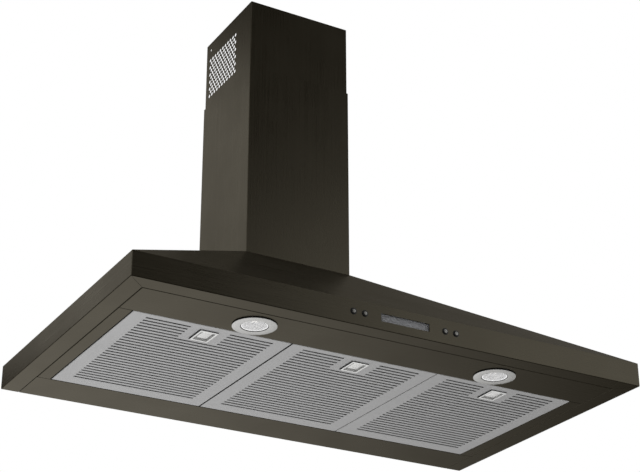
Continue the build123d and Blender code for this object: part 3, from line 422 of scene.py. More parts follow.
@dataclass(frozen=True)
class FoldedMesh(Finish):
    """Aluminium strands laid crosswise in layers, with painted shade between the strands."""

    strand: float = 2.2 * MM
    slant: float = 0.6
    waves: float = 90.0
    wave_depth: float = 4.0 * MM

    def write(self, graph: Graph) -> dict[str, Value]:
        """Two crossing sets of wavy strands, with painted shade where none lies.

        Args:
            graph: Tree to write into.

        Returns:
            Sockets of the surface shader.
        """
        wave = graph.mottle(self.waves) * self.wave_depth
        turn = 2 * math.pi / self.strand
        x, y, _ = graph.parts(graph.place())
        first, second = (
            ((x + y * slant + wave) * turn).sine().size() for slant in (self.slant, -self.slant)
        )
        height = first.most(second) ** 3.0
        return {
            # Painted shade: the colour darkens between the strands, where the layers behind lie in shade
            "Base Color": self.toned(graph, height.spread(0.25, 0.9), 0.35, 1.0),
            "Metallic": 0.85,
            "Roughness": 0.45,
            "Normal": graph.bump(height, 0.8, 0.5 * MM),
        }


@dataclass(frozen=True)
class Moulded(Finish):
    """Moulded plastic, rubber or ceramic with a fine texture."""

    roughness: float = 0.5
    relief: float = 0.03 * MM
    grains: float = 2500.0
    clouds: float = 50.0

    def write(self, graph: Graph) -> dict[str, Value]:
        """Fine texture with a slight change in gloss.

        Args:
            graph: Tree to write into.

        Returns:
            Sockets of the surface shader.
        """
        cloud = graph.mottle(self.clouds)
        return {
            "Base Color": self.toned(graph, cloud.spread(0.3, 0.7), 0.9, 1.1),
            "Roughness": cloud.spread(0.3, 0.7, self.roughness - 0.05, self.roughness + 0.05),
            "Normal": graph.bump(graph.mottle(self.grains), 0.25, self.relief),
        }


@dataclass(frozen=True)
class ClearPane(Finish):
    """Clear glass or plastic, kept thin so that it barely bends the view."""

    roughness: float = 0.02
    alpha: float = 0.16
    specks: float = 160.0

    def write(self, graph: Graph) -> dict[str, Value]:
        """A glossy, mostly open surface with a trace of dust.

        Args:
            graph: Tree to write into.

        Returns:
            Sockets of the surface shader.
        """
        dust = graph.mottle(self.specks, 4.0)
        return {
            "Base Color": rgba(self.colour),
            "Roughness": dust.spread(0.4, 0.8, self.roughness, self.roughness + 0.06),
            "Alpha": dust.spread(0.4, 0.8, self.alpha, self.alpha + 0.03),
        }


@dataclass(frozen=True)
class CircuitBoard(Finish):
    """Printed board with solder mask over copper tracks."""

    track: float = 1.6 * MM
    cells: float = 220.0

    def write(self, graph: Graph) -> dict[str, Value]:
        """Tracks under the mask show as a lighter, raised pattern.

        Args:
            graph: Tree to write into.

        Returns:
            Sockets of the surface shader.
        """
        x, _, z = graph.parts(graph.place())
        lines = ((x + z) * (math.pi / self.track)).sine() * 0.5
        tracks = (lines + graph.mottle(self.cells, 0.0)).spread(0.55, 0.65)
        return {
            "Base Color": self.toned(graph, tracks, 1.0, 1.8),
            "Roughness": 0.35,
            "Normal": graph.bump(tracks, 0.3, 0.04 * MM),
        }


@dataclass(frozen=True)
class LitSilicone(Finish):
    """Translucent silicone that glows softly: lit from inside in the light chips, and a painted highlight
    on the lens rim.
    """

    glow: float = 1.0
    spots: float = 600.0

    def write(self, graph: Graph) -> dict[str, Value]:
        """A slight mottle in the glow.

        Args:
            graph: Tree to write into.

        Returns:
            Sockets of the surface shader.
        """
        mottle = graph.mottle(self.spots)
        return {
            "Base Color": self.toned(graph, mottle, 0.9, 1.0),
            "Roughness": 0.35,
            "Emission Color": self.toned(graph, mottle, 0.85, 1.0),
            "Emission Strength": self.glow,
        }


DARK_TINT = (0.096, 0.087, 0.066)
DARK_EDGE = (0.95, 0.92, 0.86)
DARK_FOLDED = BrushedSheet("dark_stainless_folded", DARK_TINT, grain=Grain.FOLDED, edge_tint=DARK_EDGE)
DARK_ACROSS = BrushedSheet("dark_stainless_across", DARK_TINT, grain=Grain.ACROSS, edge_tint=DARK_EDGE)
DARK_DEEP = BrushedSheet("dark_stainless_deep", DARK_TINT, grain=Grain.DEEP, edge_tint=DARK_EDGE)
DARK_UPRIGHT = BrushedSheet("dark_stainless_upright", DARK_TINT, grain=Grain.UPRIGHT, contrast=0.06,
                            relief=0.006 * MM, edge_tint=DARK_EDGE)
FILTER_STEEL = TraySheet("filter_stainless", (0.62, 0.622, 0.63), roughness=0.42, metallic=0.55,
                         contrast=0.05)
RING_STEEL = BrushedSheet("lamp_ring_stainless", (0.74, 0.74, 0.73), roughness=0.32, metallic=0.5)
LATCH_METAL = PolishedMetal("latch_bright", (0.80, 0.80, 0.79), roughness=0.22)
LATCH_FRAME = BrushedSheet("latch_frame_bright", (0.95, 0.95, 0.94), roughness=0.28, metallic=0.2,
                           contrast=0.02)
CUP_METAL = BrushedSheet("latch_cup_metal", (0.62, 0.62, 0.61), roughness=0.4, metallic=0.15, contrast=0.04)
PAD_METAL = BrushedSheet("latch_pad_metal", (0.95, 0.95, 0.94), roughness=0.3, metallic=0.25, contrast=0.03)
LAMP_MIRROR = BrushedSheet("lamp_mirror", (0.97, 0.97, 0.96), roughness=0.10, metallic=0.7, contrast=0.02)
MILL_ALUMINIUM = BrushedSheet("mill_aluminium", (0.66, 0.67, 0.68), grain=Grain.ACROSS, contrast=0.04)
SHAFT_METAL = PolishedMetal("ground_shaft", (0.58, 0.58, 0.58), roughness=0.2)
BUTTON_METAL = PolishedMetal("button_metal", (0.36, 0.36, 0.35), roughness=0.2)
SCREW_METAL = PolishedMetal("plated_screw", (0.62, 0.62, 0.60), roughness=0.25)
ZINC = ZincSheet("zinc_coated_sheet", (0.50, 0.52, 0.53))
HEAT_SINK = CastMetal("heat_sink_aluminium", (0.42, 0.43, 0.44))
MOTOR_CASE = CastMetal("motor_case", (0.20, 0.21, 0.22), metallic=0.6, roughness=0.5)
STRANDS = FoldedMesh("filter_strands", (0.20, 0.20, 0.20))
BLACK_PLASTIC = Moulded("black_plastic", (0.020, 0.020, 0.020))
DISPLAY_FACE = Moulded("display_face", (0.148, 0.150, 0.156), roughness=0.4, relief=0.002 * MM)
# Painted shade: near-black for the shadow gaps around the lamp rings and under the latch frames
SHADE_BLACK = Moulded("painted_shade_black", (0.006, 0.006, 0.006), roughness=0.7)
# Dark plastic whose near-black also paints the shadow gaps around the buttons
BUTTON_SIDE_SHADE = Moulded("button_side_painted_shade", (0.008, 0.008, 0.008), roughness=0.35)
MARKING = Moulded("button_marking", (0.02, 0.02, 0.02), roughness=0.6)
# Painted shade: dark blocks for the screw recesses and motor slots, which are not cut
RECESS_SHADE = Moulded("screw_recess", (0.015, 0.015, 0.015), roughness=0.6)
CERAMIC = Moulded("white_ceramic", (0.80, 0.80, 0.79), roughness=0.4)
LIGHT_CHIP = LitSilicone("light_chip", (1.0, 0.97, 0.90))
# Painted highlight: a glowing rim for the bright arc along the lens edge
HIGHLIGHT_RIM = LitSilicone("lens_rim_painted_highlight", (0.96, 0.96, 0.96), glow=0.40)
LENS_GLASS = ClearPane("lens_glass", (0.99, 0.99, 1.0), alpha=0.50)
WINDOW_GLASS = ClearPane("display_window_glass", (0.30, 0.30, 0.31), alpha=0.10)
BOARD = CircuitBoard("circuit_board", (0.010, 0.060, 0.025))


def metres(outline: Outline) -> Outline:
    """An outline that is written in millimetres."""
    return tuple((across * MM, along * MM) for across, along in outline)


def stand(place: Point, up: Point = UP, turn: float = 0.0) -> Matrix:
    """Matrix that moves a shape from the origin to its place.

    Args:
        place: Where the origin goes.
        up: Direction that the shape's +Z turns to.
        turn: Degrees that the shape first turns about its own Z.

    Returns:
        The matrix.
    """
    lean = Vector(UP).rotation_difference(Vector(up)).to_matrix().to_4x4()
    return Matrix.Translation(place) @ lean @ Matrix.Rotation(math.radians(turn), 4, "Z")


@dataclass(frozen=True)
class Box:
    """Room that a CAD node takes up, in metres."""

    low: Point
    high: Point

    @classmethod
    def around(cls, name: str) -> "Box":
        """The box of a CAD node, to the micrometre.

        Args:
            name: The node's name.

        Returns:
            Its box in the shared frame.
        """
        axes = list(zip(*(vert.co for vert in frame["nodes"][name].data.vertices)))
        return cls(*(tuple(round(pick(axis), 6) for axis in axes) for pick in (min, max)))

    @property
    def middle(self) -> Point:
        """Middle of the box."""
        return tuple((low + high) / 2 for low, high in zip(self.low, self.high))

    @property
    def size(self) -> Point:
        """Width, depth and height of the box."""
        return tuple(high - low for low, high in zip(self.low, self.high))


@dataclass
class Piece:
    """A new mesh piece, built with bmesh operators and finished in place."""

    name: str
    body: str
    mesh: bmesh.types.BMesh = field(default_factory=bmesh.new)

    def fresh(self, before: set[bmesh.types.BMVert]) -> list[bmesh.types.BMVert]:
        """The points that weren't there before."""
        return [vert for vert in self.mesh.verts if vert not in before]

    @contextmanager
    def placed(self, where: Matrix, soft: float = 0.0, steps: int = 2) -> Iterator[None]:
        """Round off what the block adds about the origin, and move it to its place.

        Args:
            where: Place of the new shape.
            soft: Width of the rounding on its sharp edges.
            steps: Faces across the rounding.

        Returns:
            A context that the new shape is built in.
        """
        before = set(self.mesh.verts)
        yield
        if soft:
            self.soften(before, soft, steps)
        bmesh.ops.transform(self.mesh, matrix=where, verts=self.fresh(before))

    def soften(self, before: set[bmesh.types.BMVert], width: float, steps: int) -> None:
        """Round the sharp edges of a new shape.

        Args:
            before: Points of the mesh that aren't the new shape's.
            width: Width of the rounding.
            steps: Faces across the rounding.
        """
        bmesh.ops.remove_doubles(self.mesh, verts=self.fresh(before), dist=WELD)
        own = set(self.fresh(before))
        sharp = [
            edge for edge in self.mesh.edges
            if edge.verts[0] in own and len(edge.link_faces) == 2 and edge.calc_face_angle(0.0) > SHARP
        ]
        bmesh.ops.bevel(
            self.mesh, geom=sharp, offset=width, offset_type="OFFSET", affect="EDGES",
            segments=steps, profile=0.5, material=-1, clamp_overlap=True,
        )

    def box(self, width: float, depth: float, height: float) -> None:
        """Block that stands on the origin."""
        size = Matrix.Diagonal((width, depth, height, 1.0))
        bmesh.ops.create_cube(self.mesh, size=1.0, matrix=Matrix.Translation((0, 0, height / 2)) @ size)

    def drum(self, radius: float, height: float, steps: int) -> None:
        """Cylinder that stands on the origin, with that many sides."""
        bmesh.ops.create_cone(
            self.mesh, cap_ends=True, segments=steps, radius1=radius, radius2=radius,
            depth=height, matrix=Matrix.Translation((0, 0, height / 2)),
        )

    def turned(self, outline: Outline, steps: int) -> None:
        """Body turned about Z.

        Args:
            outline: Its closed section, as radius and height in metres.
            steps: Sides around.
        """
        verts = [self.mesh.verts.new((radius, 0.0, height)) for radius, height in outline]
        edges = [self.mesh.edges.new(pair) for pair in zip(verts, verts[1:] + verts[:1])]
        bmesh.ops.spin(
            self.mesh, geom=verts + edges, cent=(0, 0, 0), axis=(0, 0, 1), dvec=(0, 0, 0),
            angle=math.tau, steps=steps, use_merge=True, use_duplicate=False,
        )

    def lift(self, extruded: dict[str, list], height: float) -> None:
        """Move the far end of what was just extruded along Z."""
        tops = [item for item in extruded["geom"] if isinstance(item, bmesh.types.BMVert)]
        bmesh.ops.translate(self.mesh, vec=(0, 0, height), verts=tops)

    def prism(self, outline: Outline, height: float) -> None:
        """Straight body on a flat outline at the origin."""
        foot = self.mesh.faces.new([self.mesh.verts.new((x, y, 0.0)) for x, y in outline])
        self.lift(bmesh.ops.extrude_face_region(self.mesh, geom=[foot]), height)

    def repeat(self, count: int) -> None:
        """Copy everything so far evenly around Z."""
        whole = self.mesh.verts[:] + self.mesh.edges[:] + self.mesh.faces[:]
        bmesh.ops.spin(
            self.mesh, geom=whole, cent=(0, 0, 0), axis=(0, 0, 1), dvec=(0, 0, 0),
            angle=math.tau * (count - 1) / count, steps=count - 1, use_duplicate=True,
        )

    def finish(self, finish: Finish, replaced: Iterable[str] = (), smooth: float = 0.0,
               slot: str = "", wall: float = 0.0) -> None:
        """Turn the mesh into an object, attach it to its body and hide the CAD nodes that it stands for.

        Args:
            finish: What the piece wears.
            replaced: CAD nodes that the piece stands for.
            smooth: Edges flatter than this angle in degrees are shaded smooth.
            slot: The record's material slot. Not used.
            wall: Thickness given to an open sheet, inwards from its faces.
        """
        bmesh.ops.remove_doubles(self.mesh, verts=self.mesh.verts, dist=WELD)
        bmesh.ops.recalc_face_normals(self.mesh, faces=self.mesh.faces)
        data = bpy.data.meshes.new(self.name)
        self.mesh.to_mesh(data)
        self.mesh.free()
        piece = bpy.data.objects.new(self.name, data)
        bpy.context.scene.collection.objects.link(piece)
        if smooth:
            data.shade_smooth()
            data.set_sharp_from_angle(angle=math.radians(smooth))
        if wall:
            sheet = piece.modifiers.new("sheet", "SOLIDIFY")
            sheet.thickness = wall
            sheet.offset = -1.0
            sheet.use_even_offset = True
        finish.dress(piece)
        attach(piece, self.body)
        for node in replaced:
            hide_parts(node)
        log.info("%s: %d faces on %s", self.name, len(data.polygons), self.body)


@dataclass
class UpperCover:
    """Upper duct cover: one folded sheet with round vents in both sides."""

    box: Box = field(default_factory=lambda: Box.around("upper_duct_cover"))
    lip: float = 5.0 * MM
    bend: float = 1.6 * MM
    sheet: float = 0.8 * MM
    vent_radius: float = 3.6 * MM
    vent_rows: int = 6
    vent_columns: int = 11
    row_pitch: float = 15.8 * MM
    column_pitch: float = 10.6 * MM
    first_vent: tuple[float, float] = (-18.0 * MM, 728.5 * MM)
    screw_hole: tuple[float, float, float] = (-20.0 * MM, 751.0 * MM, 2.4 * MM)

    def holes(self) -> list[tuple[float, float, float]]:
        """The screw hole and two grids of vents, one set into the gaps of the other.

        Returns:
            Depth, height and radius of each hole in a side.
        """
        found = [self.screw_hole]
        for shift, spare in ((0.0, 0), (0.5, 1)):
            for row in range(self.vent_rows - spare):
                for column in range(self.vent_columns - spare):
                    found.append((
                        self.first_vent[0] - self.column_pitch * (column + shift),
                        self.first_vent[1] - self.row_pitch * (row + shift),
                        self.vent_radius,
                    ))
        return found

    def perforate(self, mesh: bmesh.types.BMesh, side: int) -> None:
        """Put the holes in one side wall.

        Args:
            mesh: Mesh of the cover, whose side wall is one face.
            side: -1 for the left wall and 1 for the right one.
        """
        wall_x = side * self.box.high[0]
        middle = Vector((wall_x, *self.box.middle[1:]))
        wall = min(mesh.faces, key=lambda face: (face.calc_center_median() - middle).length)
        edges = list(wall.edges)
        bmesh.ops.delete(mesh, geom=[wall], context="FACES_ONLY")
        for depth, height, radius in self.holes():
            place = Matrix.Translation((wall_x, depth, height))
            rim = bmesh.ops.create_circle(
                mesh, cap_ends=False, segments=16, radius=radius,
                matrix=place @ Matrix.Rotation(math.pi / 2, 4, "Y"),
            )
            edges += list({edge for vert in rim["verts"] for edge in vert.link_edges})
        bmesh.ops.triangle_fill(mesh, edges=edges, use_beauty=True, normal=(side, 0.0, 0.0))

    def build(self) -> None:
        """Fold the sheet, round its bends and perforate its sides."""
        piece = Piece("upper_duct_cover_sheet", "upper_cover")
        mesh = piece.mesh
        left, front, low = self.box.low
        right, rear, high = self.box.high
        plan = (
            (left + self.lip, rear), (left, rear), (left, front),
            (right, front), (right, rear), (right - self.lip, rear),
        )
        foot = [mesh.verts.new((x, y, low)) for x, y in plan]
        line = [mesh.edges.new(pair) for pair in zip(foot, foot[1:])]
        piece.lift(bmesh.ops.extrude_edge_only(mesh, edges=line), high - low)
        bends = [edge for edge in mesh.edges if len(edge.link_faces) == 2]
        bmesh.ops.bevel(
            mesh, geom=bends, offset=self.bend, offset_type="OFFSET", affect="EDGES", segments=4,
            profile=0.5, material=-1,
        )
        for side in (-1, 1):
            self.perforate(mesh, side)
        piece.finish(DARK_UPRIGHT, ("upper_duct_cover",), slot="dark_stainless", wall=self.sheet)


@dataclass
class Lamp:
    """Recessed lamp: ring, lens, faceted reflector, light source, and black rings that paint the shadow
    gaps.

    The outlines are in millimetres from the middle of the lamp's hole.
    """

    side: str
    facets: int = 16
    ring: Outline = (
        (21.5, 0.0), (21.5, -1.6), (22.0, -2.0), (33.8, -2.0), (34.35, -1.85), (34.5, -1.6),
        (34.3, -1.5), (23.0, -1.5), (23.0, 0.0),
    )
    # Painted shade: black rings under the ring's outer edge and around the lens, for the shadow gaps there
    shade_ring: Outline = ((23.1, -1.48), (34.1, -1.48), (34.1, -0.02), (23.1, -0.02))
    eye_shade_ring: Outline = ((20.9, -1.55), (21.4, -1.55), (21.4, -0.05), (20.9, -0.05))
    bowl: Outline = (
        (25.0, 0.05), (25.0, 0.7), (21.9, 0.7), (20.2, 3.4), (17.6, 6.6), (14.0, 9.8), (0.0, 9.8),
        (0.0, 9.3), (13.6, 9.3), (17.0, 6.2), (19.5, 3.1), (20.9, 0.05),
    )
    lens: Outline = (
        (0.0, -0.75), (6.0, -0.75), (6.6, -0.55), (7.2, -0.75), (13.0, -0.75), (13.6, -0.55),
        (14.2, -0.75), (19.2, -0.75), (19.2, -0.05), (0.0, -0.05),
    )
    lens_rim: Outline = (
        (19.25, -0.05), (19.25, -0.7), (19.5, -0.95), (20.4, -0.95), (20.8, -0.55), (20.8, -0.05),
    )
    board_radius: float = 13.2 * MM
    board_sheet: float = 0.6 * MM
    board_top: float = 9.28 * MM
    large_chip: Outline = ((0.0, 0.0), (5.2, 0.0), (4.8, 0.8), (3.0, 1.5), (0.0, 1.7))
    small_chips: int = 8
    small_chip: Point = (2.4 * MM, 2.4 * MM, 0.6 * MM)
    chip_circle: float = 9.2 * MM
    rounding: float = 0.15 * MM
    spring: Outline = (
        (0.0, 0.0), (0.9, 0.0), (0.9, 6.0), (3.2, 9.0), (3.2, 9.9), (0.9, 12.0), (0.9, 16.0),
        (0.0, 16.0), (0.0, 11.6), (2.2, 9.4), (0.0, 6.6),
    )
    spring_foot: Point = (26.2 * MM, 6.0 * MM, 0.0)
    spring_width: float = 12.0 * MM

    @property
    def middle(self) -> Point:
        """Middle of the lamp's hole, on the lower face of the panel."""
        return (*Box.around(f"lamp_{self.side}_bezel").middle[:2], 0.0)

    def part(self, name: str, outline: Outline, steps: int, finish: Finish, replaced: str = "",
             smooth: float = 40.0, slot: str = "") -> None:
        """Turn one part of the lamp.

        Args:
            name: What the part is.
            outline: Its section in millimetres.
            steps: Sides around.
            finish: What it wears.
            replaced: End of the name of the CAD node that it stands for.
            smooth: Largest angle shaded smooth.
            slot: The record's material slot.
        """
        piece = Piece(f"lamp_{self.side}_{name}", "hood")
        with piece.placed(stand(self.middle)):
            piece.turned(metres(outline), steps)
        nodes = (f"lamp_{self.side}_{replaced}",) if replaced else ()
        piece.finish(finish, nodes, smooth, slot)

    def source(self) -> None:
        """Ceramic board with a ring of small light chips around a larger one."""
        board = Piece(f"lamp_{self.side}_light_board", "hood")
        x, y, _ = self.middle
        with board.placed(stand((x, y, self.board_top), DOWN), soft=self.rounding):
            board.drum(self.board_radius, self.board_sheet, 48)
        board.finish(CERAMIC, smooth=40.0)
        chips = Piece(f"lamp_{self.side}_light_chips", "hood")
        with chips.placed(stand((x, y, self.board_top - self.board_sheet), DOWN)):
            chips.turned(metres(self.large_chip), 32)
            for number in range(self.small_chips):
                turn = Matrix.Rotation(math.tau * number / self.small_chips, 4, "Z")
                with chips.placed(turn @ stand((self.chip_circle, 0.0, 0.0)), soft=self.rounding):
                    chips.box(*self.small_chip)
        chips.finish(LIGHT_CHIP, smooth=50.0)

    def springs(self) -> None:
        """Two bent springs that hold the lamp in its hole."""
        piece = Piece(f"lamp_{self.side}_springs", "hood")
        for turn in (0.0, 180.0):
            with piece.placed(stand(self.middle, turn=turn) @ stand(self.spring_foot, FRONT)):
                piece.prism(metres(self.spring), self.spring_width)
        piece.finish(SHAFT_METAL, smooth=30.0)

    def build(self) -> None:
        """Build the whole lamp."""
        self.part("ring", self.ring, 96, RING_STEEL, "bezel", 30.0, "lamp_ring")
        # Painted shade: black rings for the shadow gaps around the ring and the lens
        self.part("shade_ring", self.shade_ring, 64, SHADE_BLACK)
        self.part("eye_shade_ring", self.eye_shade_ring, 64, SHADE_BLACK)
        self.part("bowl", self.bowl, self.facets, LAMP_MIRROR, "reflector", 1.0, "reflector")
        self.part("glass", self.lens, 96, LENS_GLASS, "lens", 20.0, "clear_glass")
        # Painted highlight: the lens rim glows for the bright arc along the lens edge
        self.part("lens_rim", self.lens_rim, 96, HIGHLIGHT_RIM)
        self.source()
        self.springs()


@dataclass
class Display:
    """Display module: a dark body with its screen set back in a pocket."""

    box: Box = field(default_factory=lambda: Box.around("display_module"))
    rim: float = 0.5 * MM
    pocket: float = 2.2 * MM
    screen_sheet: float = 0.25 * MM
    screen_gap: float = 0.02 * MM
    rounding: float = 0.1 * MM

    def build(self) -> None:
        """Build the body, whose front is a pocket, and the screen on the pocket's floor."""
        x, _, z = self.box.middle
        wide, deep, tall = self.box.size
        front_y = self.box.low[1]
        body = Piece("display_body", "hood")
        with body.placed(stand((x, front_y, z), BACK)):
            body.box(wide, tall, deep)
            front = min(body.mesh.faces, key=lambda face: face.calc_center_median().z)
            bmesh.ops.inset_region(body.mesh, faces=[front], thickness=self.rim, use_even_offset=True)
            body.lift(bmesh.ops.extrude_face_region(body.mesh, geom=[front]), self.pocket)
            bmesh.ops.delete(body.mesh, geom=[front], context="FACES_ONLY")
        body.finish(BLACK_PLASTIC, ("display_module",), slot="black_plastic")
        screen = Piece("display_screen", "hood")
        place = (x, front_y + self.pocket - self.screen_gap, z)
        with screen.placed(stand(place, FRONT), soft=self.rounding):
            screen.box(wide - 2 * self.rim, tall - 2 * self.rim, self.screen_sheet)
        screen.finish(DISPLAY_FACE, smooth=40.0)


@dataclass(frozen=True)
class Mark:
    """Generic mark, in millimetres from the middle of a button.

    Each bar is the height of its middle, its width and how tall it is.
    """

    bars: Sequence[tuple[float, float, float]]
    ring_radius: float = 0.0
    ring_rise: float = 0.0


MARKS = {
    Symbol.LAMP: Mark(((-1.25, 1.1, 0.35), (-1.75, 0.8, 0.3)), 1.0, 0.45),
    Symbol.SLOWER: Mark(((0.0, 3.2, 0.55),)),
    Symbol.FASTER: Mark(((0.0, 3.2, 0.55), (0.0, 0.55, 3.2))),
    Symbol.POWER: Mark(((0.95, 0.5, 1.9),), 1.35),
}


@dataclass
class PushButton:
    """Push button: metal face in a near-black sleeve, whose black also paints the shadow gap, with a
    generic mark.
    """

    symbol: Symbol
    radius: float = 4.4 * MM
    face_radius: float = 3.2 * MM
    face_rise: float = 0.3 * MM
    face_gap: float = 0.08 * MM
    ink: float = 0.04 * MM
    ring_half: float = 0.18
    collar_inner: float = 4.65 * MM
    collar_outer: float = 5.5 * MM
    collar_rise: float = 0.5 * MM
    edge: float = 0.15 * MM
    stem: float = 3.6 * MM
    flange_front: float = -528.7 * MM
    flange_back: float = -527.5 * MM
    rounding: float = 0.2 * MM
    front_rounding: float = 0.35 * MM
    box: Box = field(init=False)
    band: float = field(init=False)

    def __post_init__(self) -> None:
        """Measure the CAD button and the band that it sits in."""
        self.box = Box.around(self.symbol.value)
        self.band = Box.around("canopy_shell").low[1]

    def out(self, depth: float, rise: float = 0.0) -> Matrix:
        """Place on the button's axis or above it at a depth, with Z towards the front."""
        return stand((self.box.middle[0], depth, self.box.middle[2] + rise), FRONT)

    def sleeve(self) -> None:
        """Near-black plunger with its guide flange and stem, which stands for the CAD button; its black
        also paints the shadow gap at the button's side.
        """
        piece = Piece(f"{self.symbol.value}_plunger", self.symbol.value)
        face, end = self.box.low[1], self.box.high[1]
        flange = self.box.size[0]
        with piece.placed(self.out(self.flange_front), soft=self.front_rounding, steps=3):
            piece.drum(self.radius, self.flange_front - face - self.face_gap, 32)
        with piece.placed(self.out(self.flange_back), soft=self.rounding):
            piece.box(flange, flange, self.flange_back - self.flange_front)
        with piece.placed(self.out(end), soft=self.rounding):
            piece.box(self.stem, self.stem, end - self.flange_back)
        piece.finish(BUTTON_SIDE_SHADE, (self.symbol.value,), smooth=40.0, slot="button")

    def guide(self) -> None:
        """Near-black guide ring around the button's hole in the band, as painted shade for the gap around
        the button.
        """
        piece = Piece(f"{self.symbol.value}_guide", "hood")
        inner, outer, rise = self.collar_inner, self.collar_outer, self.collar_rise
        with piece.placed(self.out(self.band)):
            piece.turned(((inner, 0.0), (outer, 0.0), (outer - self.edge, rise), (inner, rise)), 32)
        piece.finish(BUTTON_SIDE_SHADE, smooth=40.0)

    def face(self) -> None:
        """Slightly crowned metal face."""
        piece = Piece(f"{self.symbol.value}_face", self.symbol.value)
        radius, rise = self.face_radius, self.face_rise
        with piece.placed(self.out(self.box.low[1] + rise)):
            piece.turned((
                (0.0, 0.0), (radius, 0.0), (radius - self.edge, 0.6 * rise), (0.6 * radius, 0.92 * rise),
                (0.0, rise),
            ), 32)
        piece.finish(BUTTON_METAL, smooth=40.0)

    def mark(self) -> None:
        """Generic mark for what the button does, laid into its face."""
        piece = Piece(f"{self.symbol.value}_mark", self.symbol.value)
        mark = MARKS[self.symbol]
        floor = self.box.low[1] + self.ink
        for rise, width, tall in mark.bars:
            with piece.placed(self.out(floor, rise * MM)):
                piece.box(width * MM, tall * MM, self.ink)
        if mark.ring_radius:
            inner = (mark.ring_radius - self.ring_half) * MM
            outer = (mark.ring_radius + self.ring_half) * MM
            with piece.placed(self.out(floor, mark.ring_rise * MM)):
                piece.turned(((inner, 0.0), (outer, 0.0), (outer, self.ink), (inner, self.ink)), 24)
        piece.finish(MARKING)

    def build(self) -> None:
        """Build the button."""
        self.sleeve()
        self.guide()
        self.face()
        self.mark()


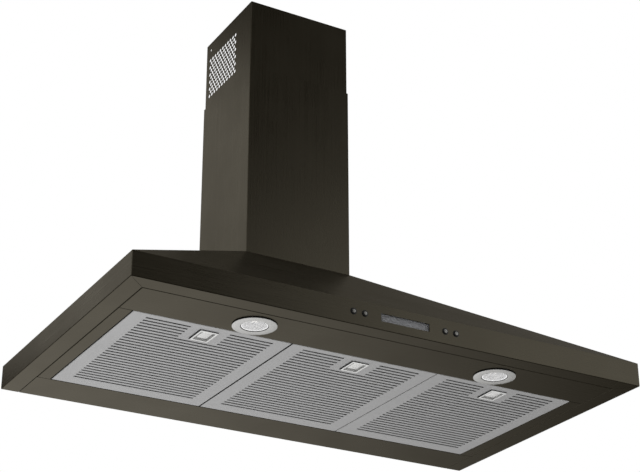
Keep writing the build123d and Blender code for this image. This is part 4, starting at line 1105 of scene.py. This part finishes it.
@dataclass
class FilterLatch:
    """Slide latch of a grease filter: bright frame, dark cup, ridged pad and tongue."""

    position: str
    proud: float = 2.0 * MM
    frame_sheet: float = 0.6 * MM
    side_border: float = 2.9 * MM
    end_border: float = 3.5 * MM
    # Painted shade: a black strip under the frame, set off to the left, for the shadow gap at that side
    shade_left: float = 1.3 * MM
    shade_front: float = -0.5 * MM
    shade_top: float = -0.01 * MM
    shade_gap: tuple[float, float] = (1.6 * MM, 0.8 * MM)
    cup_size: tuple[float, float] = (27.0 * MM, 38.0 * MM)
    wall: float = 0.8 * MM
    pad_proud: float = 0.7 * MM
    pad_length: float = 27.0 * MM
    ridges: int = 5
    ridge_pitch: float = 3.2 * MM
    ridge_side: float = 2.0 * MM
    ridge_proud: float = 0.28 * MM
    ridge_size: tuple[float, float] = (1.1 * MM, 0.6 * MM)
    tongue_width: float = 10.0 * MM
    tongue_sheet: float = 2.0 * MM
    border_rounding: float = 0.18 * MM
    pad_rounding: float = 0.8 * MM
    ridge_rounding: float = 0.25 * MM
    tongue_rounding: float = 0.3 * MM
    tray: str = field(init=False)
    recess: Box = field(init=False)
    slide: Box = field(init=False)
    frame_top: float = field(init=False)

    def __post_init__(self) -> None:
        """Name the filter that carries the latch, and measure the CAD latch."""
        self.tray = f"filter_{self.position}"
        self.recess = Box.around(f"{self.tray}_latch_cup")
        self.slide = Box.around(f"{self.tray}_latch_slider")
        self.frame_top = -self.proud + self.frame_sheet

    def ring(self, piece: Piece, outer: tuple[float, float], inner: tuple[float, float],
             low: float, high: float, soft: float = 0.0) -> None:
        """Rectangular frame between two heights.

        Args:
            piece: Piece to add to.
            outer: Outer width and length.
            inner: Inner width and length.
            low: Height of its lower face.
            high: Height of its upper face.
            soft: Rounding of its edges.
        """
        with piece.placed(stand((*self.recess.middle[:2], low)), soft=soft):
            loops = []
            for size in (outer, inner):
                made = bmesh.ops.create_grid(
                    piece.mesh, x_segments=1, y_segments=1, size=0.5,
                    matrix=Matrix.Diagonal((*size, 1.0, 1.0)),
                )
                faces = list({face for vert in made["verts"] for face in vert.link_faces})
                loops += list({edge for vert in made["verts"] for edge in vert.link_edges})
                bmesh.ops.delete(piece.mesh, geom=faces, context="FACES_ONLY")
            flat = bmesh.ops.bridge_loops(piece.mesh, edges=loops)["faces"]
            piece.lift(bmesh.ops.extrude_face_region(piece.mesh, geom=flat), high - low)

    def border(self) -> None:
        """Bright frame that stands proud of the tray."""
        piece = Piece(f"{self.tray}_latch_frame", self.tray)
        width, length, _ = self.recess.size
        window = (width - 2 * self.side_border, length - 2 * self.end_border)
        self.ring(piece, (width, length), window, -self.proud, self.frame_top, self.border_rounding)
        piece.finish(LATCH_FRAME, smooth=40.0, slot="bright_latch")

    def cup(self) -> None:
        """Cup behind the frame, which stands for the CAD cup."""
        piece = Piece(f"{self.tray}_latch_cup_wall", self.tray)
        x, y, _ = self.recess.middle
        floor = self.recess.high[2]
        width, length = self.cup_size
        inside = (width - 2 * self.wall, length - 2 * self.wall)
        self.ring(piece, self.cup_size, inside, self.frame_top, floor)
        with piece.placed(stand((x, y, floor - self.wall))):
            piece.box(width, length, self.wall)
        piece.finish(CUP_METAL, (f"{self.tray}_latch_cup",), slot="bright_latch")

    def shade_strip(self) -> None:
        """Black strip under the frame, which shows at its left: painted shade for the shadow gap there."""
        piece = Piece(f"{self.tray}_latch_painted_shade", self.tray)
        width, length, _ = self.recess.size
        outer = (width + self.shade_left, length + self.shade_front)
        inner = (self.cup_size[0] + self.shade_gap[0], self.cup_size[1] + self.shade_gap[1])
        with piece.placed(stand((-self.shade_left / 2, -self.shade_front / 2, 0.0))):
            self.ring(piece, outer, inner, self.frame_top, self.shade_top)
        piece.finish(SHADE_BLACK)

    def slider(self) -> None:
        """Ridged pad with its tongue, which stands for the CAD slider."""
        piece = Piece(f"{self.tray}_latch_pad", f"latch_{self.position}")
        x, y, _ = self.slide.middle
        width, length, _ = self.slide.size
        pad_y = self.slide.high[1] - self.pad_length / 2
        low, top = -self.pad_proud, self.slide.high[2] - self.tongue_sheet
        with piece.placed(stand((x, pad_y, low)), soft=self.pad_rounding, steps=3):
            piece.box(width, self.pad_length, top - low)
        for number in range(self.ridges):
            along = (number - (self.ridges - 1) / 2) * self.ridge_pitch
            place = (x, pad_y + along, low - self.ridge_proud)
            with piece.placed(stand(place), soft=self.ridge_rounding):
                piece.box(width - 2 * self.ridge_side, *self.ridge_size)
        with piece.placed(stand((x, y, top)), soft=self.tongue_rounding):
            piece.box(self.tongue_width, length, self.tongue_sheet)
        piece.finish(PAD_METAL, (f"{self.tray}_latch_slider",), smooth=40.0, slot="bright_latch")

    def build(self) -> None:
        """Build the latch."""
        self.border()
        self.cup()
        self.shade_strip()
        self.slider()


@dataclass
class Blower:
    """Fan wheel with curved blades, inlet ring and motor.

    The outlines are in millimetres, as the radius and the place along the axis, or for a blade as
    the radius and how far it has swept.
    """

    blades: int = 24
    blade_sheet: float = 0.7
    blade_lean: float = 0.15
    blade: Outline = ((56.6, 0.0), (59.6, 0.3), (63.0, 1.3), (66.4, 2.9), (69.3, 5.0))
    blade_start: float = -50.4 * MM
    blade_end: float = 50.5 * MM
    hub: Outline = (
        (4.05, 36.0), (10.5, 36.0), (12.0, 37.5), (12.0, 47.5), (16.0, 50.5), (69.4, 50.5),
        (70.0, 51.2), (69.4, 52.0), (4.05, 52.0),
    )
    front_ring: Outline = (
        (56.0, -52.0), (69.4, -52.0), (70.0, -51.4), (70.0, -48.6), (69.4, -48.0), (68.6, -48.6),
        (68.6, -50.4), (57.2, -50.4), (56.0, -50.9),
    )
    inlet: Outline = (
        (54.2, -60.9), (54.6, -62.6), (56.2, -64.0), (58.6, -64.4), (61.0, -63.6), (64.5, -61.9),
        (68.0, -61.1), (68.0, -61.05), (56.0, -61.05),
    )
    motor_body: Outline = (
        (4.1, 64.0), (42.0, 64.0), (42.0, 74.0), (40.6, 75.2), (40.6, 104.0), (42.0, 105.2), (42.0, 112.0),
        (39.0, 116.4), (24.0, 117.2), (22.0, 118.0), (0.0, 118.0), (0.0, 88.0), (4.1, 88.0),
    )
    plate_sheet: float = 3.0 * MM
    plate_rounding: float = 0.6 * MM
    slots: int = 12
    slot_circle: float = 32.0 * MM
    slot_size: Point = (10.0 * MM, 3.0 * MM, 1.0 * MM)
    slot_floor: float = 115.9 * MM
    slot_rounding: float = 0.8 * MM
    sides: int = 72
    axis: Matrix = field(init=False)

    def __post_init__(self) -> None:
        """Find the wheel's axis in the frame, with Z along it to the right."""
        spin = next(joint for joint in frame["joints"] if joint["name"] == "impeller_spin")
        self.axis = stand(spin["pos_m"], RIGHT)

    def wheel(self) -> None:
        """Wheel with blades that curve forwards."""
        piece = Piece("impeller_wheel", "impeller")
        lean = self.blade_lean * self.blade_sheet
        back = tuple((radius + lean, swept + self.blade_sheet) for radius, swept in reversed(self.blade))
        with piece.placed(self.axis):
            with piece.placed(stand((0.0, 0.0, self.blade_start))):
                piece.prism(metres(self.blade + back), self.blade_end - self.blade_start)
            piece.repeat(self.blades)
            for section in (self.hub, self.front_ring):
                piece.turned(metres(section), self.sides)
        piece.finish(MILL_ALUMINIUM, ("impeller",), smooth=35.0, slot="bare_aluminium")

    def inlet_ring(self) -> None:
        """Flared ring around the inlet."""
        piece = Piece("blower_inlet_ring", "hood")
        with piece.placed(self.axis):
            piece.turned(metres(self.inlet), self.sides)
        piece.finish(ZINC, smooth=50.0)

    def motor(self) -> None:
        """Motor with a square plate, grooved case, and cooling slots drawn as dark blocks of painted shade.
        """
        piece = Piece("fan_motor", "hood")
        box = Box.around("motor")
        with piece.placed(self.axis @ stand((0.0, 0.0, box.low[0])), soft=self.plate_rounding):
            piece.box(box.size[2], box.size[1], self.plate_sheet)
        with piece.placed(self.axis):
            piece.turned(metres(self.motor_body), self.sides)
        piece.finish(MOTOR_CASE, ("motor",), smooth=35.0, slot="motor_case")
        # Painted shade: the cooling slots are dark blocks on the motor's end, not openings
        openings = Piece("fan_motor_slots", "hood")
        with openings.placed(self.axis @ stand((0.0, 0.0, self.slot_floor))):
            with openings.placed(stand((self.slot_circle, 0.0, 0.0)), soft=self.slot_rounding):
                openings.box(*self.slot_size)
            openings.repeat(self.slots)
        openings.finish(RECESS_SHADE, smooth=40.0)

    def build(self) -> None:
        """Build the blower's pieces."""
        self.wheel()
        self.inlet_ring()
        self.motor()


@dataclass(frozen=True)
class ScrewGroup:
    """Screws at the corners of a rectangle on the outer face of a sheet, in millimetres."""

    middle: Point
    reach: Point
    up: Point

    def places(self) -> list[Point]:
        """Places in metres. The corners lie one reach to both sides, or in line where it is 0."""
        steps = product(*((-reach, reach) if reach else (0.0,) for reach in self.reach))
        return [tuple((n + step) * MM for n, step in zip(self.middle, corner)) for corner in steps]


@dataclass
class Screws:
    """Pan head screws with a cross recess, where the sheet parts are joined."""

    radius: float = 2.9 * MM
    rise: float = 1.7 * MM
    turn: float = 37.0
    sides: int = 14
    groups: tuple[ScrewGroup, ...] = (
        # Top plate on the canopy, at its corners and halfway
        ScrewGroup((0.0, -95.0, 256.2), (92.0, 81.0, 0.0), UP),
        ScrewGroup((0.0, -95.0, 256.2), (92.0, 0.0, 0.0), UP),
        # Collar on the top plate, and blower under it
        ScrewGroup((0.0, -95.0, 257.0), (74.0, 74.0, 0.0), UP),
        ScrewGroup((0.0, -85.0, 254.0), (67.0, 35.0, 0.0), DOWN),
        # Motor on the right side of the blower
        ScrewGroup((64.0, -140.0, 146.0), (0.0, 40.0, 40.0), RIGHT),
        # Cover of the wiring box
        ScrewGroup((225.0, -48.0, 77.0), (56.0, 0.0, 0.0), FRONT),
        # Control board on its bracket
        ScrewGroup((0.0, -512.9, 21.0), (105.0, 0.0, 11.5), BACK),
    )

    def build(self) -> None:
        """Put every screw in, with its recess as a dark cross of painted shade."""
        heads = Piece("screw_heads", "hood")
        crosses = Piece("screw_recesses", "hood")
        section = (
            (0.0, 0.0), (self.radius, 0.0), (self.radius, 0.35 * self.rise),
            (0.72 * self.radius, 0.85 * self.rise), (0.0, self.rise),
        )
        spots = [stand(place, group.up, self.turn) for group in self.groups for place in group.places()]
        for spot in spots:
            with heads.placed(spot):
                heads.turned(section, self.sides)
            for turn in (0.0, 90.0):
                with crosses.placed(spot @ stand((0.0, 0.0, 0.86 * self.rise), turn=turn)):
                    crosses.box(1.1 * self.radius, 0.24 * self.radius, 0.16 * self.rise)
        heads.finish(SCREW_METAL, smooth=40.0)
        crosses.finish(RECESS_SHADE)


@dataclass(frozen=True)
class SoftWall:
    """A white part of the room that shows in reflections, with a soft edge.

    A direction sees the edge where its cosine with toward is edge, and the whole glow from full on.
    """

    toward: Point
    edge: float
    full: float
    glow: float


@dataclass(frozen=True)
class SoftLight:
    """A square area light: its place, the point that it faces, its side and its power in watts."""

    name: str
    place: Point
    aim: Point
    side: float
    power: float

    def hang(self) -> None:
        """Hang the light where no camera sees it."""
        data = bpy.data.lights.new(self.name, "AREA")
        data.size = self.side
        data.energy = self.power
        made = bpy.data.objects.new(self.name, data)
        made.visible_camera = False
        made.location = self.place
        made.rotation_euler = (Vector(self.aim) - Vector(self.place)).to_track_quat("-Z", "Y").to_euler()
        bpy.context.scene.collection.objects.link(made)


@dataclass
class Studio:
    """Camera, lights and background that the hood is looked at in."""

    camera_place: Point = (-1.2816, -2.5179, -0.9529)
    camera_turn: Point = (115.38367, 0.02907, -29.62443)
    focal_pixels: float = 1667.93
    frame_pixels: float = 640.0
    sensor: float = 36.0
    floor_middle: Point = (0.0, -1.0, -3.6)
    floor_size: float = 60.0
    floor_tones: tuple[float, float] = (0.86, 0.90)
    floor_clouds: float = 0.8
    room_glow: float = 0.04
    room_colour: Colour = (1.0, 0.84, 0.50)
    fill: float = 0.9
    walls: tuple[SoftWall, ...] = (
        SoftWall((0.10, 0.85, -0.52), 0.84, 0.98, 0.77),
        SoftWall((0.95, -0.30, -0.05), 0.60, 0.80, 0.15),
        SoftWall((0.80, 0.55, 0.25), 0.88, 0.98, 0.15),
        SoftWall((0.00, -0.30, 0.95), 0.86, 0.98, 0.45),
        SoftWall((-0.35, -0.90, -0.25), 0.82, 0.96, 0.55),
        SoftWall((0.00, 0.20, 0.98), 0.55, 0.95, 0.10),
        SoftWall((-0.80, -0.45, 0.30), 0.80, 0.97, 0.5),
    )
    lights: tuple[SoftLight, ...] = (
        SoftLight("left_light", (-1.22, 2.0, 1.48), (-0.3, -0.2, 0.2), 1.15, 2.42),
        SoftLight("front_light", (2.30, -2.6, 0.80), (0.0, -0.3, 0.3), 2.3, 10.4),
    )

    def camera(self) -> None:
        """Make the camera at the photograph's place, in its direction and with its lens."""
        data = bpy.data.cameras.new("camera")
        data.sensor_width = self.sensor
        data.lens = self.focal_pixels / self.frame_pixels * self.sensor
        data.clip_start = 0.01
        data.clip_end = 100.0
        made = bpy.data.objects.new("camera", data)
        made.location = self.camera_place
        made.rotation_euler = Euler([math.radians(a) for a in self.camera_turn], "XYZ")
        bpy.context.scene.collection.objects.link(made)
        bpy.context.scene.camera = made

    def floor(self) -> None:
        """Lay a pale floor below the hood, which reflections don't show."""
        mesh = bmesh.new()
        bmesh.ops.create_grid(mesh, x_segments=1, y_segments=1, size=self.floor_size / 2)
        bmesh.ops.translate(mesh, verts=mesh.verts, vec=self.floor_middle)
        data = bpy.data.meshes.new("floor")
        mesh.to_mesh(data)
        mesh.free()
        made = bpy.data.objects.new("floor", data)
        bpy.context.scene.collection.objects.link(made)
        material = bpy.data.materials.new("pale_floor")
        material.use_nodes = True
        graph = Graph(material.node_tree)
        dark, light = (rgba((tone, tone, tone)) for tone in self.floor_tones)
        colour = graph.mix(graph.mottle(self.floor_clouds), dark, light)
        shader = graph.node("ShaderNodeBsdfDiffuse", {}, {"Color": colour})
        graph.node("ShaderNodeOutputMaterial", {}, {"Surface": graph.signal(shader)})
        data.materials.append(material)
        made.visible_glossy = False

    def world(self) -> None:
        """White to the camera and through glass, and in reflections a room with soft white walls."""
        world = bpy.data.worlds.new("studio")
        bpy.context.scene.world = world
        world.use_nodes = True
        graph = Graph(world.node_tree)
        ray = graph.node("ShaderNodeLightPath", {}, {})
        way = graph.signal(graph.node("ShaderNodeTexCoord", {}, {}), "Generated")
        walls: Value = 0.0
        for wall in self.walls:
            toward = Vector(wall.toward).normalized()
            facing = graph.node("ShaderNodeVectorMath", {"operation": "DOT_PRODUCT"}, {0: way, 1: toward})
            walls = graph.signal(facing, "Value").spread(wall.edge, wall.full, 0.0, wall.glow) + walls
        straight = graph.signal(ray, "Is Camera Ray").most(graph.signal(ray, "Is Transmission Ray"))
        mirrored = graph.signal(ray, "Is Glossy Ray") * (1 - straight)
        white = straight + mirrored * walls + (1 - mirrored - straight) * self.fill
        shaders = [
            graph.signal(graph.node("ShaderNodeBackground", {}, {"Color": rgba(colour), "Strength": share}))
            for colour, share in (((1.0, 1.0, 1.0), white), (self.room_colour, mirrored * self.room_glow))
        ]
        both = graph.node("ShaderNodeAddShader", {}, {0: shaders[0], 1: shaders[1]})
        graph.node("ShaderNodeOutputWorld", {}, {"Surface": graph.signal(both)})

    def build(self) -> None:
        """Set up the whole studio."""
        bpy.context.scene.view_settings.view_transform = "Standard"
        self.camera()
        self.floor()
        self.world()
        for light in self.lights:
            light.hang()
        log.info("studio ready")


@dataclass
class Carried:
    """Finishes of the CAD nodes, also of those that a new piece stands for."""

    finishes: tuple[tuple[Finish, tuple[str, ...]], ...] = (
        (DARK_FOLDED, ("canopy_shell",)),
        (DARK_ACROSS, ("lamp_panel", "rear_rail")),
        (DARK_DEEP, tuple(f"filler_strip_{side}" for side in SIDES)),
        (DARK_UPRIGHT, ("lower_duct_cover", "upper_duct_cover")),
        (ZINC, ("rear_panel", "top_plate", "blower_housing_left", "blower_housing_right", "wiring_box",
                "wiring_box_cover", "outlet_collar")),
        (MILL_ALUMINIUM, ("impeller", "damper_flap_front", "damper_flap_rear")),
        (MOTOR_CASE, ("motor",)),
        (SHAFT_METAL, ("motor_shaft",)),
        (RING_STEEL, tuple(f"lamp_{side}_bezel" for side in SIDES)),
        (LAMP_MIRROR, tuple(f"lamp_{side}_reflector" for side in SIDES)),
        (LENS_GLASS, tuple(f"lamp_{side}_lens" for side in SIDES)),
        (HEAT_SINK, tuple(f"lamp_{side}_module" for side in SIDES)),
        (BUTTON_METAL, tuple(symbol.value for symbol in Symbol)),
        (WINDOW_GLASS, ("display_window",)),
        (DISPLAY_FACE, ("display_module",)),
        (BLACK_PLASTIC, ("control_bracket", "terminal_block", "run_capacitor")),
        (BOARD, ("control_board",)),
        (FILTER_STEEL, tuple(f"filter_{p}_{n}" for p in POSITIONS for n in ("face", "back_frame"))),
        (STRANDS, tuple(f"filter_{p}_mesh" for p in POSITIONS)),
        (LATCH_METAL, tuple(f"filter_{p}_{n}" for p in POSITIONS for n in ("latch_cup", "latch_slider"))),
    )

    def build(self) -> None:
        """Dress every node."""
        dressed = set()
        for finish, names in self.finishes:
            for name in names:
                finish.dress(frame["nodes"][name])
                dressed.add(name)
        missing = sorted(set(frame["nodes"]) - dressed)
        if missing:
            log.warning("nodes without a finish: %s", missing)
        log.info("%d nodes dressed", len(dressed))


def main() -> None:
    """Build the whole picture."""
    logging.basicConfig(level=logging.INFO, format="%(name)s %(message)s")
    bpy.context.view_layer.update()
    Studio().build()
    Carried().build()
    UpperCover().build()
    for side in SIDES:
        Lamp(side).build()
    Display().build()
    for symbol in Symbol:
        PushButton(symbol).build()
    for position in POSITIONS:
        FilterLatch(position).build()
    Blower().build()
    Screws().build()


if __name__ == "__main__":
    main()
